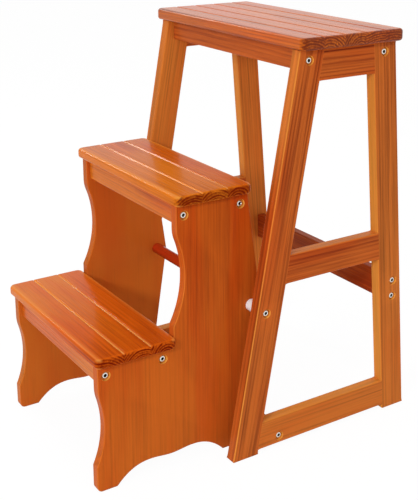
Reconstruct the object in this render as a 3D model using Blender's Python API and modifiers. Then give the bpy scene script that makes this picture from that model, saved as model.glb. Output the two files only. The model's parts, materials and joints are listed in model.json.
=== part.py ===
"""Folding wooden step stool: a fixed A-shaped frame with the top step, and a lower unit with two
steps that stands in front of it and turns over backwards on two pivot bolts until it lies
inside the frame.

Lengths are metres, +Z is up, +X is the right side, and the steps are climbed towards +Y.
Sizes are first written from the front legs' front edge at the floor, and origin_shift then
brings the middle of the footprint to the origin.
"""

import math

import bmesh
import bpy
from mathutils import Matrix, Vector

# General clearances and rounding
fit_gap = 0.0003
cutter_overrun = 0.004
merge_distance = 0.00001
arris_radius = 0.002
board_arris_radius = 0.0015
tread_arris_radius = 0.004
arris_segments = 2
tread_arris_segments = 3
round_steps = 24
fastener_steps = 16
corner_steps = 5
cove_steps = 9
lobe_steps = 6
sharp_angle = math.radians(35)
groove_turn = math.radians(45)
flat_angle = math.radians(0.5)

# Heights of the three steps above the floor
overall_height = 0.642
middle_tread_height = 0.428
lower_tread_height = 0.214

# Top step
top_step_width = 0.418
top_step_thickness = 0.019
top_front_overhang = 0.0055
top_rear_overhang = 0.0052
top_side_overhang = 0.014
top_groove_count = 4
tread_corner_radius = 0.008
groove_depth = 0.0025

# Fixed frame, as wide as the top step less its overhang on both sides
frame_width = top_step_width - 2 * top_side_overhang
frame_base_depth = 0.3455
leg_width = 0.045
leg_thickness = 0.019
front_leg_rake = math.radians(10.2)
rear_leg_rake = math.radians(4.7)
rail_height = 0.045
top_rail_height = 0.048
bottom_rail_clearance = 0.007
middle_rail_base = 0.271

# Boards that tie the two side frames together
apron_height = 0.032
apron_thickness = 0.015
top_front_apron_setback = 0.010
top_rear_apron_setback = 0.014
cross_rail_drop = 0.0395
cross_rail_height = 0.045
cross_rail_thickness = 0.015
cross_rail_setback = 0.009
lower_bar_reach = 0.0865
lower_bar_height = 0.024
lower_bar_thickness = 0.015

# Pivot
pivot_height = 0.2315
pivot_setback = 0.0174
pivot_dowel_radius = 0.009
spacer_radius = 0.011

# Lower unit, which stands clear of the frame's legs on both sides
unit_side_gap = 0.024
unit_width = frame_width - 2 * (leg_thickness + unit_side_gap)
board_thickness = 0.015
tread_side_overhang = 0.011
tread_width = unit_width + 2 * tread_side_overhang
tread_depth = 0.130
tread_thickness = 0.016
tread_going = 0.131
middle_tread_reach = 0.1345
board_front_setback = 0.0055
tread_groove_count = 2
unit_apron_setback = 0.0055
lower_rear_apron_setback = 0.011
middle_rear_apron_setback = 0.005

# Outline of a side board
foot_corner_radius = 0.008
foot_knee_height = 0.040
lower_cove_drop = 0.062
lower_cove_depth = 0.011
upper_cove_rise = 0.014
upper_cove_drop = 0.062
upper_cove_depth = 0.016
board_top_rear = 0.0065
board_knee_rear = 0.020
board_knee_drop = 0.0035
board_knee_radius = 0.010
board_foot_rear = 0.0155
front_foot_length = 0.032
rear_foot_length = 0.034
arch_height = 0.026
arch_dip = 0.003
arch_lobe_offset = 0.036
arch_shoulder_power = 2.3

# Bolts, nuts and screws
bolt_radius = 0.003
bolt_head_radius = 0.0055
bolt_head_height = 0.004
bolt_head_chamfer = 0.0006
bolt_recess_radius = 0.007
bolt_recess_depth = 0.006
bolt_grip_length = 0.028
pivot_bolt_grip_length = 0.025
socket_radius = 0.0023
socket_depth = 0.0025
socket_sides = 6
nut_radius = 0.005
nut_length = 0.012
nut_inset = 0.018
nut_bore_depth = 0.0135
screw_radius = 0.002
screw_head_radius = 0.004
screw_head_height = 0.003
screw_recess_depth = 0.008
screw_grip_length = 0.013
screw_spread = 0.110

# How far the cross rail's two bolts lie above and below its middle
cross_rail_bolt_spread = 0.0135

# Sizes that follow from the ones above
front_slope = math.tan(front_leg_rake)
rear_slope = math.tan(rear_leg_rake)
front_leg_run = leg_width / math.cos(front_leg_rake)
rear_leg_run = leg_width / math.cos(rear_leg_rake)
frame_height = overall_height - top_step_thickness - fit_gap
frame_outer = frame_width / 2
frame_inner = frame_outer - leg_thickness
unit_outer = unit_width / 2
unit_inner = unit_outer - board_thickness

pivot_depth = pivot_height * front_slope + pivot_setback
middle_tread_front = pivot_depth - middle_tread_reach
lower_tread_front = middle_tread_front - tread_going
lower_tread_rear = lower_tread_front + tread_depth
origin_shift = -(lower_tread_front + frame_base_depth) / 2

middle_board_top = middle_tread_height - tread_thickness - fit_gap
lower_board_top = lower_tread_height - tread_thickness - fit_gap
top_rail_base = overall_height - top_step_thickness - top_rail_height
cross_rail_base = pivot_height - cross_rail_drop
lower_cove_top = lower_tread_height - lower_cove_drop
upper_cove_base = lower_tread_height + upper_cove_rise
upper_cove_top = middle_tread_height - upper_cove_drop
board_knee_height = pivot_height - board_knee_drop


def front_leg_front(height):
    """Depth of the front legs' front edge at a height."""
    return height * front_slope


def front_leg_rear(height):
    """Depth of the front legs' rear edge at a height."""
    return height * front_slope + front_leg_run


def rear_leg_rear(height):
    """Depth of the rear legs' rear edge at a height."""
    return frame_base_depth - height * rear_slope


def rear_leg_front(height):
    """Depth of the rear legs' front edge at a height."""
    return rear_leg_rear(height) - rear_leg_run


def at(side, depth, height):
    """A point of the stool, moved so that the middle of the footprint is the origin."""
    return Vector((side, depth + origin_shift, height))


# Scene, collections and materials

def clear_scene():
    """Remove the objects that the new scene came with."""
    for old in list(bpy.data.objects):
        bpy.data.objects.remove(old, do_unlink=True)


def new_collection(name):
    """A collection linked to the scene."""
    collection = bpy.data.collections.new(name)
    bpy.context.scene.collection.children.link(collection)
    return collection


def new_material(name, colour, roughness, metallic):
    """A plain Principled material."""
    material = bpy.data.materials.new(name)
    material.use_nodes = True
    shader = material.node_tree.nodes["Principled BSDF"]
    shader.inputs["Base Color"].default_value = (*colour, 1.0)
    shader.inputs["Roughness"].default_value = roughness
    shader.inputs["Metallic"].default_value = metallic
    material.diffuse_color = (*colour, 1.0)
    return material


clear_scene()
stool = new_collection("folding_step_stool")
cutters = new_collection("cutters")

frame_wood = new_material("frame_wood", (0.55, 0.17, 0.035), 0.35, 0.0)
step_wood = new_material("step_wood", (0.62, 0.22, 0.06), 0.30, 0.0)
board_wood = new_material("board_wood", (0.48, 0.13, 0.025), 0.35, 0.0)
dowel_wood = new_material("dowel_wood", (0.38, 0.07, 0.02), 0.35, 0.0)
bolt_steel = new_material("bolt_steel", (0.78, 0.76, 0.72), 0.25, 1.0)
nut_steel = new_material("nut_steel", (0.70, 0.68, 0.62), 0.35, 1.0)
spacer_nylon = new_material("spacer_nylon", (0.90, 0.90, 0.87), 0.40, 0.0)

frame_anchor = bpy.data.objects.new("frame_anchor", None)
unit_anchor = bpy.data.objects.new("unit_anchor", None)
unit_anchor.location = at(0, pivot_depth, pivot_height)
stool.objects.link(frame_anchor)
stool.objects.link(unit_anchor)

# Turns that bring a shape's own axes into the stool
side_view = Matrix(((0, 0, 1), (1, 0, 0), (0, 1, 0)))
plan_view = Matrix.Identity(3)
along_right = Matrix(((0, 0, 1), (0, 1, 0), (-1, 0, 0)))
along_left = Matrix(((0, 0, -1), (0, 1, 0), (1, 0, 0)))
along_back = Matrix(((1, 0, 0), (0, 0, 1), (0, -1, 0)))
along_front = Matrix(((1, 0, 0), (0, 0, -1), (0, 1, 0)))
along_down = Matrix(((1, 0, 0), (0, -1, 0), (0, 0, -1)))


def seat(piece, anchor, point, turn=plan_view):
    """Put a piece at a point of the stool, turned, and hang it on its anchor."""
    piece.parent = anchor
    piece.location = point - anchor.location
    piece.rotation_euler = turn.to_euler()


def add_piece(name, mesh, material, anchor, point, turn=plan_view):
    """An object of the stool made from a mesh."""
    piece = bpy.data.objects.new(name, mesh)
    stool.objects.link(piece)
    if not mesh.materials:
        mesh.materials.append(material)
    seat(piece, anchor, point, turn)
    return piece


def cut(piece, tool):
    """Take a cutter's shape out of a piece."""
    bore = piece.modifiers.new(tool.name, 'BOOLEAN')
    bore.operation = 'DIFFERENCE'
    bore.solver = 'EXACT'
    bore.object = tool


def soften(piece, radius, segments, limit='ANGLE'):
    """Round the sharp edges of a piece."""
    rounding = piece.modifiers.new("rounding", 'BEVEL')
    rounding.width = radius
    rounding.segments = segments
    rounding.limit_method = limit
    rounding.angle_limit = sharp_angle
    rounding.use_clamp_overlap = True


def smooth(mesh):
    """Shade a round mesh smooth and keep its sharp edges."""
    mesh.shade_smooth()
    mesh.set_sharp_from_angle(angle=sharp_angle)


# Shapes

def box_mesh(name, width, depth, height):
    """A box about its own middle."""
    mesh = bpy.data.meshes.new(name)
    shape = bmesh.new()
    bmesh.ops.create_cube(shape, size=1.0)
    bmesh.ops.scale(shape, vec=(width, depth, height), verts=shape.verts)
    shape.to_mesh(mesh)
    shape.free()
    return mesh


def plate_mesh(name, outline, thickness):
    """A flat outline given a thickness, half of it on each side."""
    curve = bpy.data.curves.new(name, 'CURVE')
    curve.dimensions = '2D'
    curve.fill_mode = 'BOTH'
    curve.extrude = thickness / 2
    spline = curve.splines.new('POLY')
    spline.points.add(len(outline) - 1)
    for point, (across, up) in zip(spline.points, outline):
        point.co = (across, up, 0, 1)
    spline.use_cyclic_u = True
    guide = bpy.data.objects.new(name, curve)
    cutters.objects.link(guide)
    bpy.context.view_layer.update()
    mesh = bpy.data.meshes.new_from_object(guide.evaluated_get(bpy.context.evaluated_depsgraph_get()))
    bpy.data.objects.remove(guide, do_unlink=True)
    mesh.name = name
    shape = bmesh.new()
    shape.from_mesh(mesh)
    bmesh.ops.remove_doubles(shape, verts=shape.verts, dist=merge_distance)
    bmesh.ops.dissolve_limit(shape, angle_limit=flat_angle, verts=shape.verts, edges=shape.edges)
    bmesh.ops.recalc_face_normals(shape, faces=shape.faces)
    shape.to_mesh(mesh)
    shape.free()
    return mesh


def turned_mesh(name, profile, steps, closed=False):
    """A profile of (radius, height) points, from the top down, turned about the Z axis."""
    mesh = bpy.data.meshes.new(name)
    shape = bmesh.new()
    points = [shape.verts.new((radius, 0, height)) for radius, height in profile]
    for first, second in zip(points, points[1:]):
        shape.edges.new((first, second))
    if closed:
        shape.edges.new((points[-1], points[0]))
    shape.to_mesh(mesh)
    shape.free()
    guide = bpy.data.objects.new(name, mesh)
    cutters.objects.link(guide)
    turning = guide.modifiers.new("turning", 'SCREW')
    turning.steps = steps
    turning.render_steps = steps
    turning.use_merge_vertices = True
    turning.merge_threshold = merge_distance
    bpy.context.view_layer.update()
    turned = bpy.data.meshes.new_from_object(guide.evaluated_get(bpy.context.evaluated_depsgraph_get()))
    bpy.data.objects.remove(guide, do_unlink=True)
    turned.name = name
    smooth(turned)
    return turned


def add_cutter(name, mesh, anchor, point, turn=plan_view):
    """A hidden object that cuts others."""
    tool = bpy.data.objects.new(name, mesh)
    cutters.objects.link(tool)
    tool.hide_render = True
    tool.display_type = 'WIRE'
    seat(tool, anchor, point, turn)
    return tool


def baked_difference(name, body, tool_mesh, turn, point):
    """The mesh of a body with one cutter taken out, for pieces that share their shape."""
    piece = bpy.data.objects.new(name, body)
    tool = bpy.data.objects.new(name + "_tool", tool_mesh)
    cutters.objects.link(piece)
    cutters.objects.link(tool)
    tool.rotation_euler = turn.to_euler()
    tool.location = point
    cut(piece, tool)
    bpy.context.view_layer.update()
    mesh = bpy.data.meshes.new_from_object(piece.evaluated_get(bpy.context.evaluated_depsgraph_get()))
    bpy.data.objects.remove(piece, do_unlink=True)
    bpy.data.objects.remove(tool, do_unlink=True)
    mesh.name = name
    return mesh


def mark_sides(mesh, outline, sides):
    """Give a bevel weight to the edges of a plate's faces along chosen sides of its outline.

    Side number k runs from outline point k to the next one.
    """
    weights = mesh.attributes.new("bevel_weight_edge", 'FLOAT', 'EDGE')
    for edge in mesh.edges:
        first, second = (mesh.vertices[index].co for index in edge.vertices)
        if abs(first.z - second.z) > merge_distance:
            continue
        for side in sides:
            start = Vector(outline[side])
            along = (Vector(outline[(side + 1) % len(outline)]) - start).normalized()
            offsets = [abs(along.cross(point.xy - start)) for point in (first, second)]
            if max(offsets) < merge_distance:
                weights.data[edge.index].value = 1.0


def arc_points(start, end, sagitta, steps):
    """The points between start and end on a circular arc that stands off their chord.

    A positive sagitta bends the arc to the right of the way from start to end.
    """
    start = Vector(start)
    chord = Vector(end) - start
    half = chord.length / 2
    radius = (half * half + sagitta * sagitta) / (2 * sagitta)
    along = chord.normalized()
    right = Vector((along.y, -along.x))
    reach = math.asin(half / radius)
    centre = start + chord / 2 + right * (sagitta - radius)
    points = []
    for step in range(1, steps):
        angle = reach * (2 * step / steps - 1)
        points.append(tuple(centre + along * radius * math.sin(angle) + right * radius * math.cos(angle)))
    return points


def fillet_points(before, corner, after, radius, steps):
    """The points that round a corner of an outline with a radius."""
    corner = Vector(corner)
    back = (Vector(before) - corner).normalized()
    ahead = (Vector(after) - corner).normalized()
    half_angle = back.angle(ahead) / 2
    reach = radius / math.tan(half_angle)
    centre = corner + (back + ahead).normalized() * radius / math.sin(half_angle)
    first = corner + back * reach - centre
    last = corner + ahead * reach - centre
    turn = first.angle_signed(last)
    points = []
    for step in range(steps + 1):
        angle = -turn * step / steps
        spun = Vector((first.x * math.cos(angle) - first.y * math.sin(angle),
                       first.x * math.sin(angle) + first.y * math.cos(angle)))
        points.append(tuple(centre + spun))
    return points


def rounded_rectangle(width, depth, radius):
    """The outline of a rectangle about its middle with rounded corners."""
    right = width / 2
    back = depth / 2
    corners = [(right, -back), (right, back), (-right, back), (-right, -back)]
    outline = []
    for index, corner in enumerate(corners):
        before = corners[index - 1]
        after = corners[(index + 1) % len(corners)]
        outline.extend(fillet_points(before, corner, after, radius, corner_steps))
    return outline


# Fastener shapes, each along its own Z axis with its seat at zero and its head above

def fastener_mesh(name, radius, length, head_radius, head_height):
    """A round-headed fastener with a hexagon socket."""
    profile = [
        (0, head_height),
        (head_radius - bolt_head_chamfer, head_height),
        (head_radius, head_height - bolt_head_chamfer),
        (head_radius, 0),
        (radius, 0),
        (radius, -length),
        (0, -length),
    ]
    body = turned_mesh(name + "_body", profile, fastener_steps)
    socket = bpy.data.meshes.new(name + "_socket")
    shape = bmesh.new()
    bmesh.ops.create_cone(shape, cap_ends=True, segments=socket_sides, radius1=socket_radius,
                          radius2=socket_radius, depth=2 * socket_depth)
    shape.to_mesh(socket)
    shape.free()
    return baked_difference(name, body, socket, plan_view, Vector((0, 0, head_height)))


def bore_mesh(name, radius, length, recess_radius, recess_depth):
    """A stepped cutter: a recess for the head above zero and a bore for the shank below it."""
    profile = [
        (0, recess_depth + cutter_overrun),
        (recess_radius, recess_depth + cutter_overrun),
        (recess_radius, -fit_gap),
        (radius + fit_gap, -fit_gap),
        (radius + fit_gap, -length - fit_gap),
        (0, -length - fit_gap),
    ]
    return turned_mesh(name, profile, fastener_steps)


frame_bolt_length = leg_thickness - bolt_recess_depth + bolt_grip_length
unit_bolt_length = board_thickness - bolt_recess_depth + bolt_grip_length
pivot_bolt_length = (leg_thickness - bolt_recess_depth + unit_side_gap + board_thickness
                     + pivot_bolt_grip_length)
screw_length = apron_height - screw_recess_depth + screw_grip_length

bolt_shapes = {
    "frame": fastener_mesh("frame_bolt", bolt_radius, frame_bolt_length, bolt_head_radius, bolt_head_height),
    "unit": fastener_mesh("unit_bolt", bolt_radius, unit_bolt_length, bolt_head_radius, bolt_head_height),
    "pivot": fastener_mesh("pivot_bolt", bolt_radius, pivot_bolt_length, bolt_head_radius, bolt_head_height),
    "screw": fastener_mesh("top_screw", screw_radius, screw_length, screw_head_radius, screw_head_height),
}
bore_shapes = {
    "frame": bore_mesh("frame_bore", bolt_radius, frame_bolt_length, bolt_recess_radius, bolt_recess_depth),
    "unit": bore_mesh("unit_bore", bolt_radius, unit_bolt_length, bolt_recess_radius, bolt_recess_depth),
    "pivot": bore_mesh("pivot_bore", bolt_radius, pivot_bolt_length, bolt_recess_radius, bolt_recess_depth),
    "screw": bore_mesh("screw_bore", screw_radius, screw_length, screw_head_radius + fit_gap,
                       screw_recess_depth),
}
bolt_seats = {
    "frame": frame_outer - bolt_recess_depth,
    "unit": unit_outer - bolt_recess_depth,
    "pivot": frame_outer - bolt_recess_depth,
}


def nut_mesh():
    """A barrel nut along its own Z axis with the bolt's bore across its middle."""
    half = nut_length / 2
    profile = [
        (0, half),
        (nut_radius, half),
        (nut_radius, -half),
        (0, -half),
    ]
    body = turned_mesh("barrel_nut_body", profile, fastener_steps)
    reach = nut_radius + cutter_overrun
    thread = bolt_radius + fit_gap
    bore = turned_mesh("barrel_nut_bore", [(0, reach), (thread, reach), (thread, -reach), (0, -reach)],
                       fastener_steps)
    return baked_difference("barrel_nut", body, bore, along_right, Vector((0, 0, 0)))


nut_shape = nut_mesh()
nut_bore_shape = turned_mesh("nut_bore", [
    (0, cutter_overrun),
    (nut_radius + fit_gap, cutter_overrun),
    (nut_radius + fit_gap, -nut_bore_depth),
    (0, -nut_bore_depth),
], fastener_steps)


def side_name(side):
    """The word for a side of the stool."""
    return "right" if side > 0 else "left"


def add_bolt(name, kind, side, anchor, depth, height, bored):
    """A bolt that enters from one side, with its bore through the pieces it passes."""
    turn = along_right if side > 0 else along_left
    point = at(side * bolt_seats[kind], depth, height)
    full_name = name + "_" + side_name(side)
    add_piece(full_name, bolt_shapes[kind], bolt_steel, anchor, point, turn)
    tool = add_cutter(full_name + "_bore", bore_shapes[kind], anchor, point, turn)
    for piece in bored:
        cut(piece, tool)


def add_nut(name, side, anchor, face_depth, facing, height, board_half, piece):
    """A barrel nut in a board's end, entered from the board's face that looks along facing."""
    side_place = side * (board_half - nut_inset)
    turn = along_back if facing > 0 else along_front
    full_name = name + "_" + side_name(side)
    middle = face_depth - facing * (nut_bore_depth - fit_gap - nut_length / 2)
    add_piece(full_name, nut_shape, nut_steel, anchor, at(side_place, middle, height), turn)
    tool = add_cutter(full_name + "_bore", nut_bore_shape, anchor, at(side_place, face_depth, height), turn)
    cut(piece, tool)


# Fixed frame: legs and side rails, each a plate seen from the side

def leg_piece(name, side, outline, soft_sides):
    """A leg or a side rail of one side frame."""
    mesh = plate_mesh(name, outline, leg_thickness)
    mark_sides(mesh, outline, soft_sides)
    piece = add_piece(name, mesh, frame_wood, frame_anchor,
                      at(side * (frame_outer - leg_thickness / 2), 0, 0), side_view)
    soften(piece, arris_radius, arris_segments, 'WEIGHT')
    return piece


def rail_outline(base, top):
    """The outline of a side rail between the two legs, clear of them by the fit gap."""
    front_gap = fit_gap / math.cos(front_leg_rake)
    rear_gap = fit_gap / math.cos(rear_leg_rake)
    return [
        (front_leg_rear(base) + front_gap, base),
        (rear_leg_front(base) - rear_gap, base),
        (rear_leg_front(top) - rear_gap, top),
        (front_leg_rear(top) + front_gap, top),
    ]


front_leg_outline = [
    (front_leg_front(0), 0),
    (front_leg_rear(0), 0),
    (front_leg_rear(frame_height), frame_height),
    (front_leg_front(frame_height), frame_height),
]
rear_leg_outline = [
    (rear_leg_front(0), 0),
    (rear_leg_rear(0), 0),
    (rear_leg_rear(frame_height), frame_height),
    (rear_leg_front(frame_height), frame_height),
]
front_legs = {}
rear_legs = {}
bottom_rails = {}
for side in (-1, 1):
    word = side_name(side)
    front_legs[side] = leg_piece("front_leg_" + word, side, front_leg_outline, (0, 3))
    rear_legs[side] = leg_piece("rear_leg_" + word, side, rear_leg_outline, (0, 1))
    leg_piece("top_rail_" + word, side, rail_outline(top_rail_base, frame_height), (0,))
    leg_piece("middle_rail_" + word, side,
              rail_outline(middle_rail_base, middle_rail_base + rail_height), (0, 2))
    bottom_rails[side] = leg_piece(
        "bottom_rail_" + word, side,
        rail_outline(bottom_rail_clearance, bottom_rail_clearance + rail_height), (0, 2))


# Treads: boards with rounded corners and grooves along their length

def tread_piece(name, width, depth, thickness, front, height, count, anchor):
    """A tread that its grooves part into equal strips, with its top face at a height."""
    pitch = depth / (count + 1)
    outline = rounded_rectangle(width, depth, tread_corner_radius)
    middle = at(0, front + depth / 2, height - thickness / 2)
    mesh = plate_mesh(name, outline, thickness)
    piece = add_piece(name, mesh, step_wood, anchor, middle)
    soften(piece, tread_arris_radius, tread_arris_segments)
    groove_side = (groove_depth + cutter_overrun) * math.sqrt(2)
    groove = box_mesh(name + "_groove", width + 2 * cutter_overrun, groove_side, groove_side)
    diamond = Matrix.Rotation(groove_turn, 3, 'X')
    for number in range(count):
        offset = (number - (count - 1) / 2) * pitch
        point = at(0, front + depth / 2 + offset, height + cutter_overrun)
        cut(piece, add_cutter(name + "_groove_" + str(number + 1), groove, anchor, point, diamond))
    return piece


top_step_front = front_leg_front(frame_height) - top_front_overhang
top_step_depth = rear_leg_rear(frame_height) + top_rear_overhang - top_step_front
top_step = tread_piece("top_step", top_step_width, top_step_depth, top_step_thickness, top_step_front,
                       overall_height, top_groove_count, frame_anchor)
tread_piece("middle_tread", tread_width, tread_depth, tread_thickness, middle_tread_front,
            middle_tread_height, tread_groove_count, unit_anchor)
tread_piece("lower_tread", tread_width, tread_depth, tread_thickness, lower_tread_front,
            lower_tread_height, tread_groove_count, unit_anchor)


# Boards across the stool

def cross_board(name, half_span, front, thickness, base, height, material, anchor):
    """A board that runs from side to side, clear of both sides by the fit gap."""
    width = 2 * (half_span - fit_gap)
    middle = at(0, front + thickness / 2, base + height / 2)
    piece = add_piece(name, box_mesh(name, width, thickness, height), material, anchor, middle)
    soften(piece, board_arris_radius, arris_segments)
    return piece


top_apron_base = frame_height - apron_height
top_apron_fronts = {
    "front": front_leg_front(frame_height) + top_front_apron_setback,
    "rear": rear_leg_rear(frame_height) - top_rear_apron_setback - apron_thickness,
}
top_aprons = {}
for place, front in top_apron_fronts.items():
    top_aprons[place] = cross_board("top_apron_" + place, frame_inner, front, apron_thickness,
                                    top_apron_base, apron_height, frame_wood, frame_anchor)

cross_rail_middle = cross_rail_base + cross_rail_height / 2
cross_rail_front = rear_leg_rear(cross_rail_middle) - cross_rail_setback - cross_rail_thickness
cross_rail = cross_board("rear_cross_rail", frame_inner, cross_rail_front, cross_rail_thickness,
                         cross_rail_base, cross_rail_height, frame_wood, frame_anchor)
lower_bar_front = lower_bar_reach - lower_bar_thickness / 2
lower_bar = cross_board("lower_cross_bar", frame_inner, lower_bar_front, lower_bar_thickness,
                        bottom_rail_clearance, lower_bar_height, frame_wood, frame_anchor)


# Lower unit: side boards, aprons under its two treads and the pivot dowel

def arch_points(front, rear):
    """The scalloped arch between the two feet: two lobes with a shallow dip between them."""
    middle = (front + rear) / 2
    half = (rear - front) / 2
    shoulder = half - arch_lobe_offset

    def shoulder_height(share):
        return arch_height * (1 - share ** arch_shoulder_power)

    def lobe_height(offset):
        dip = arch_dip * (1 + math.cos(math.pi * offset / arch_lobe_offset)) / 2
        return arch_height - dip

    rising = [(arch_lobe_offset + shoulder * share, shoulder_height(share))
              for share in (1 - step / lobe_steps for step in range(1, lobe_steps + 1))]
    inner = [(arch_lobe_offset * share, lobe_height(arch_lobe_offset * share))
             for share in (1 - step / lobe_steps for step in range(1, lobe_steps + 1))]
    near_half = rising + inner
    far_half = near_half[-2::-1]
    return ([(middle + offset, height) for offset, height in near_half]
            + [(middle - offset, height) for offset, height in far_half])


board_foot_end = pivot_depth - board_foot_rear
arch_rear = board_foot_end - rear_foot_length
arch_front = lower_tread_front + front_foot_length
knee_front = lower_tread_rear + fit_gap
lower_front = lower_tread_front + board_front_setback
upper_front = middle_tread_front + board_front_setback
foot_corner = (lower_tread_front, 0)
foot_knee = (lower_tread_front, foot_knee_height)
rear_knee = (pivot_depth + board_knee_rear, board_knee_height)
board_top_corner = (pivot_depth - board_top_rear, middle_board_top)
board_foot_corner = (board_foot_end, 0)

side_board_outline = (
    [(arch_front, 0)]
    + fillet_points((arch_front, 0), foot_corner, foot_knee, foot_corner_radius, corner_steps)
    + [foot_knee]
    + arc_points(foot_knee, (lower_front, lower_cove_top), lower_cove_depth, cove_steps)
    + [(lower_front, lower_cove_top), (lower_front, lower_board_top),
       (knee_front, lower_board_top), (knee_front, upper_cove_base)]
    + arc_points((knee_front, upper_cove_base), (upper_front, upper_cove_top), upper_cove_depth, cove_steps)
    + [(upper_front, upper_cove_top), (upper_front, middle_board_top), board_top_corner]
    + fillet_points(board_top_corner, rear_knee, board_foot_corner, board_knee_radius, corner_steps)
    + [board_foot_corner, (arch_rear, 0)]
    + arch_points(arch_front, arch_rear)
)

side_boards = {}
for side in (-1, 1):
    board_name = "side_board_" + side_name(side)
    board_mesh = plate_mesh(board_name, side_board_outline, board_thickness)
    side_boards[side] = add_piece(board_name, board_mesh, board_wood, unit_anchor,
                                  at(side * (unit_outer - board_thickness / 2), 0, 0), side_view)
    soften(side_boards[side], board_arris_radius, arris_segments)

middle_rear_apron_front = pivot_depth - board_top_rear - middle_rear_apron_setback - apron_thickness
unit_apron_places = {
    "middle_apron_front": (upper_front + unit_apron_setback, middle_board_top),
    "middle_apron_rear": (middle_rear_apron_front, middle_board_top),
    "lower_apron_front": (lower_front + unit_apron_setback, lower_board_top),
    "lower_apron_rear": (lower_tread_rear - lower_rear_apron_setback - apron_thickness, lower_board_top),
}
unit_aprons = {}
for name, (front, top) in unit_apron_places.items():
    unit_aprons[name] = cross_board(name, unit_inner, front, apron_thickness, top - apron_height,
                                    apron_height, step_wood, unit_anchor)

dowel_half = unit_inner - fit_gap
dowel_profile = [(0, dowel_half), (pivot_dowel_radius, dowel_half),
                 (pivot_dowel_radius, -dowel_half), (0, -dowel_half)]
pivot_dowel = add_piece("pivot_dowel", turned_mesh("pivot_dowel", dowel_profile, round_steps), dowel_wood,
                        unit_anchor, at(0, pivot_depth, pivot_height), along_right)

spacer_half = unit_side_gap / 2 - fit_gap
spacer_bore = bolt_radius + fit_gap
spacer_profile = [(spacer_radius, spacer_half), (spacer_radius, -spacer_half),
                  (spacer_bore, -spacer_half), (spacer_bore, spacer_half)]
spacer_shape = turned_mesh("pivot_spacer", spacer_profile, round_steps, closed=True)
for side in (-1, 1):
    add_piece("pivot_spacer_" + side_name(side), spacer_shape, spacer_nylon, frame_anchor,
              at(side * (unit_outer + unit_side_gap / 2), pivot_depth, pivot_height), along_right)


# Fasteners

for side in (-1, 1):
    add_bolt("pivot_bolt", "pivot", side, unit_anchor, pivot_depth, pivot_height,
             (front_legs[side], side_boards[side], pivot_dowel))

    for place, apron in top_aprons.items():
        front = top_apron_fronts[place]
        leg = front_legs[side] if place == "front" else rear_legs[side]
        height = top_apron_base + apron_height / 2
        add_bolt("top_bolt_" + place, "frame", side, frame_anchor, front + apron_thickness / 2, height,
                 (leg, apron))
        facing = 1 if place == "front" else -1
        inner_face = front + apron_thickness if place == "front" else front
        add_nut("top_nut_" + place, side, frame_anchor, inner_face, facing, height, frame_inner, apron)

    for level, offset in (("upper", cross_rail_bolt_spread), ("lower", -cross_rail_bolt_spread)):
        height = cross_rail_middle + offset
        add_bolt("cross_bolt_" + level, "frame", side, frame_anchor,
                 cross_rail_front + cross_rail_thickness / 2, height, (rear_legs[side], cross_rail))
        add_nut("cross_nut_" + level, side, frame_anchor, cross_rail_front + cross_rail_thickness, 1,
                height, frame_inner, cross_rail)

    bar_height = bottom_rail_clearance + lower_bar_height / 2
    add_bolt("bar_bolt", "frame", side, frame_anchor, lower_bar_reach, bar_height,
             (bottom_rails[side], lower_bar))
    add_nut("bar_nut", side, frame_anchor, lower_bar_front + lower_bar_thickness, 1, bar_height,
            frame_inner, lower_bar)

    for name, (front, top) in unit_apron_places.items():
        add_bolt(name.replace("apron", "bolt"), "unit", side, unit_anchor, front + apron_thickness / 2,
                 top - apron_height / 2, (side_boards[side], unit_aprons[name]))

for place, apron in top_aprons.items():
    for side in (-1, 1):
        full_name = "top_screw_" + place + "_" + side_name(side)
        point = at(side * screw_spread, top_apron_fronts[place] + apron_thickness / 2,
                   top_apron_base + screw_recess_depth)
        add_piece(full_name, bolt_shapes["screw"], bolt_steel, frame_anchor, point, along_down)
        tool = add_cutter(full_name + "_bore", bore_shapes["screw"], frame_anchor, point, along_down)
        cut(apron, tool)
        cut(top_step, tool)
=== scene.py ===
# %% [markdown]
# # A folding step stool in stained pine
#
# The stool has a fixed frame of two leaning pairs of legs under a grooved top step, and a lower
# unit with two more steps that stands in front of it and folds over backwards on two pivot
# bolts. The solid model of every piece is already packed, so this lesson starts from it, and
# only makes finer surfaces and finishes around it. Everything is in metres, with Z up and the
# steps climbed towards +Y.
#
# Each step below says what the piece is on the real stool, how it could be made, and why it is
# made this way.

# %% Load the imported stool
import json
import math

import bpy
import numpy as np
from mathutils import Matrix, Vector
from mathutils.geometry import tessellate_polygon

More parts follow.
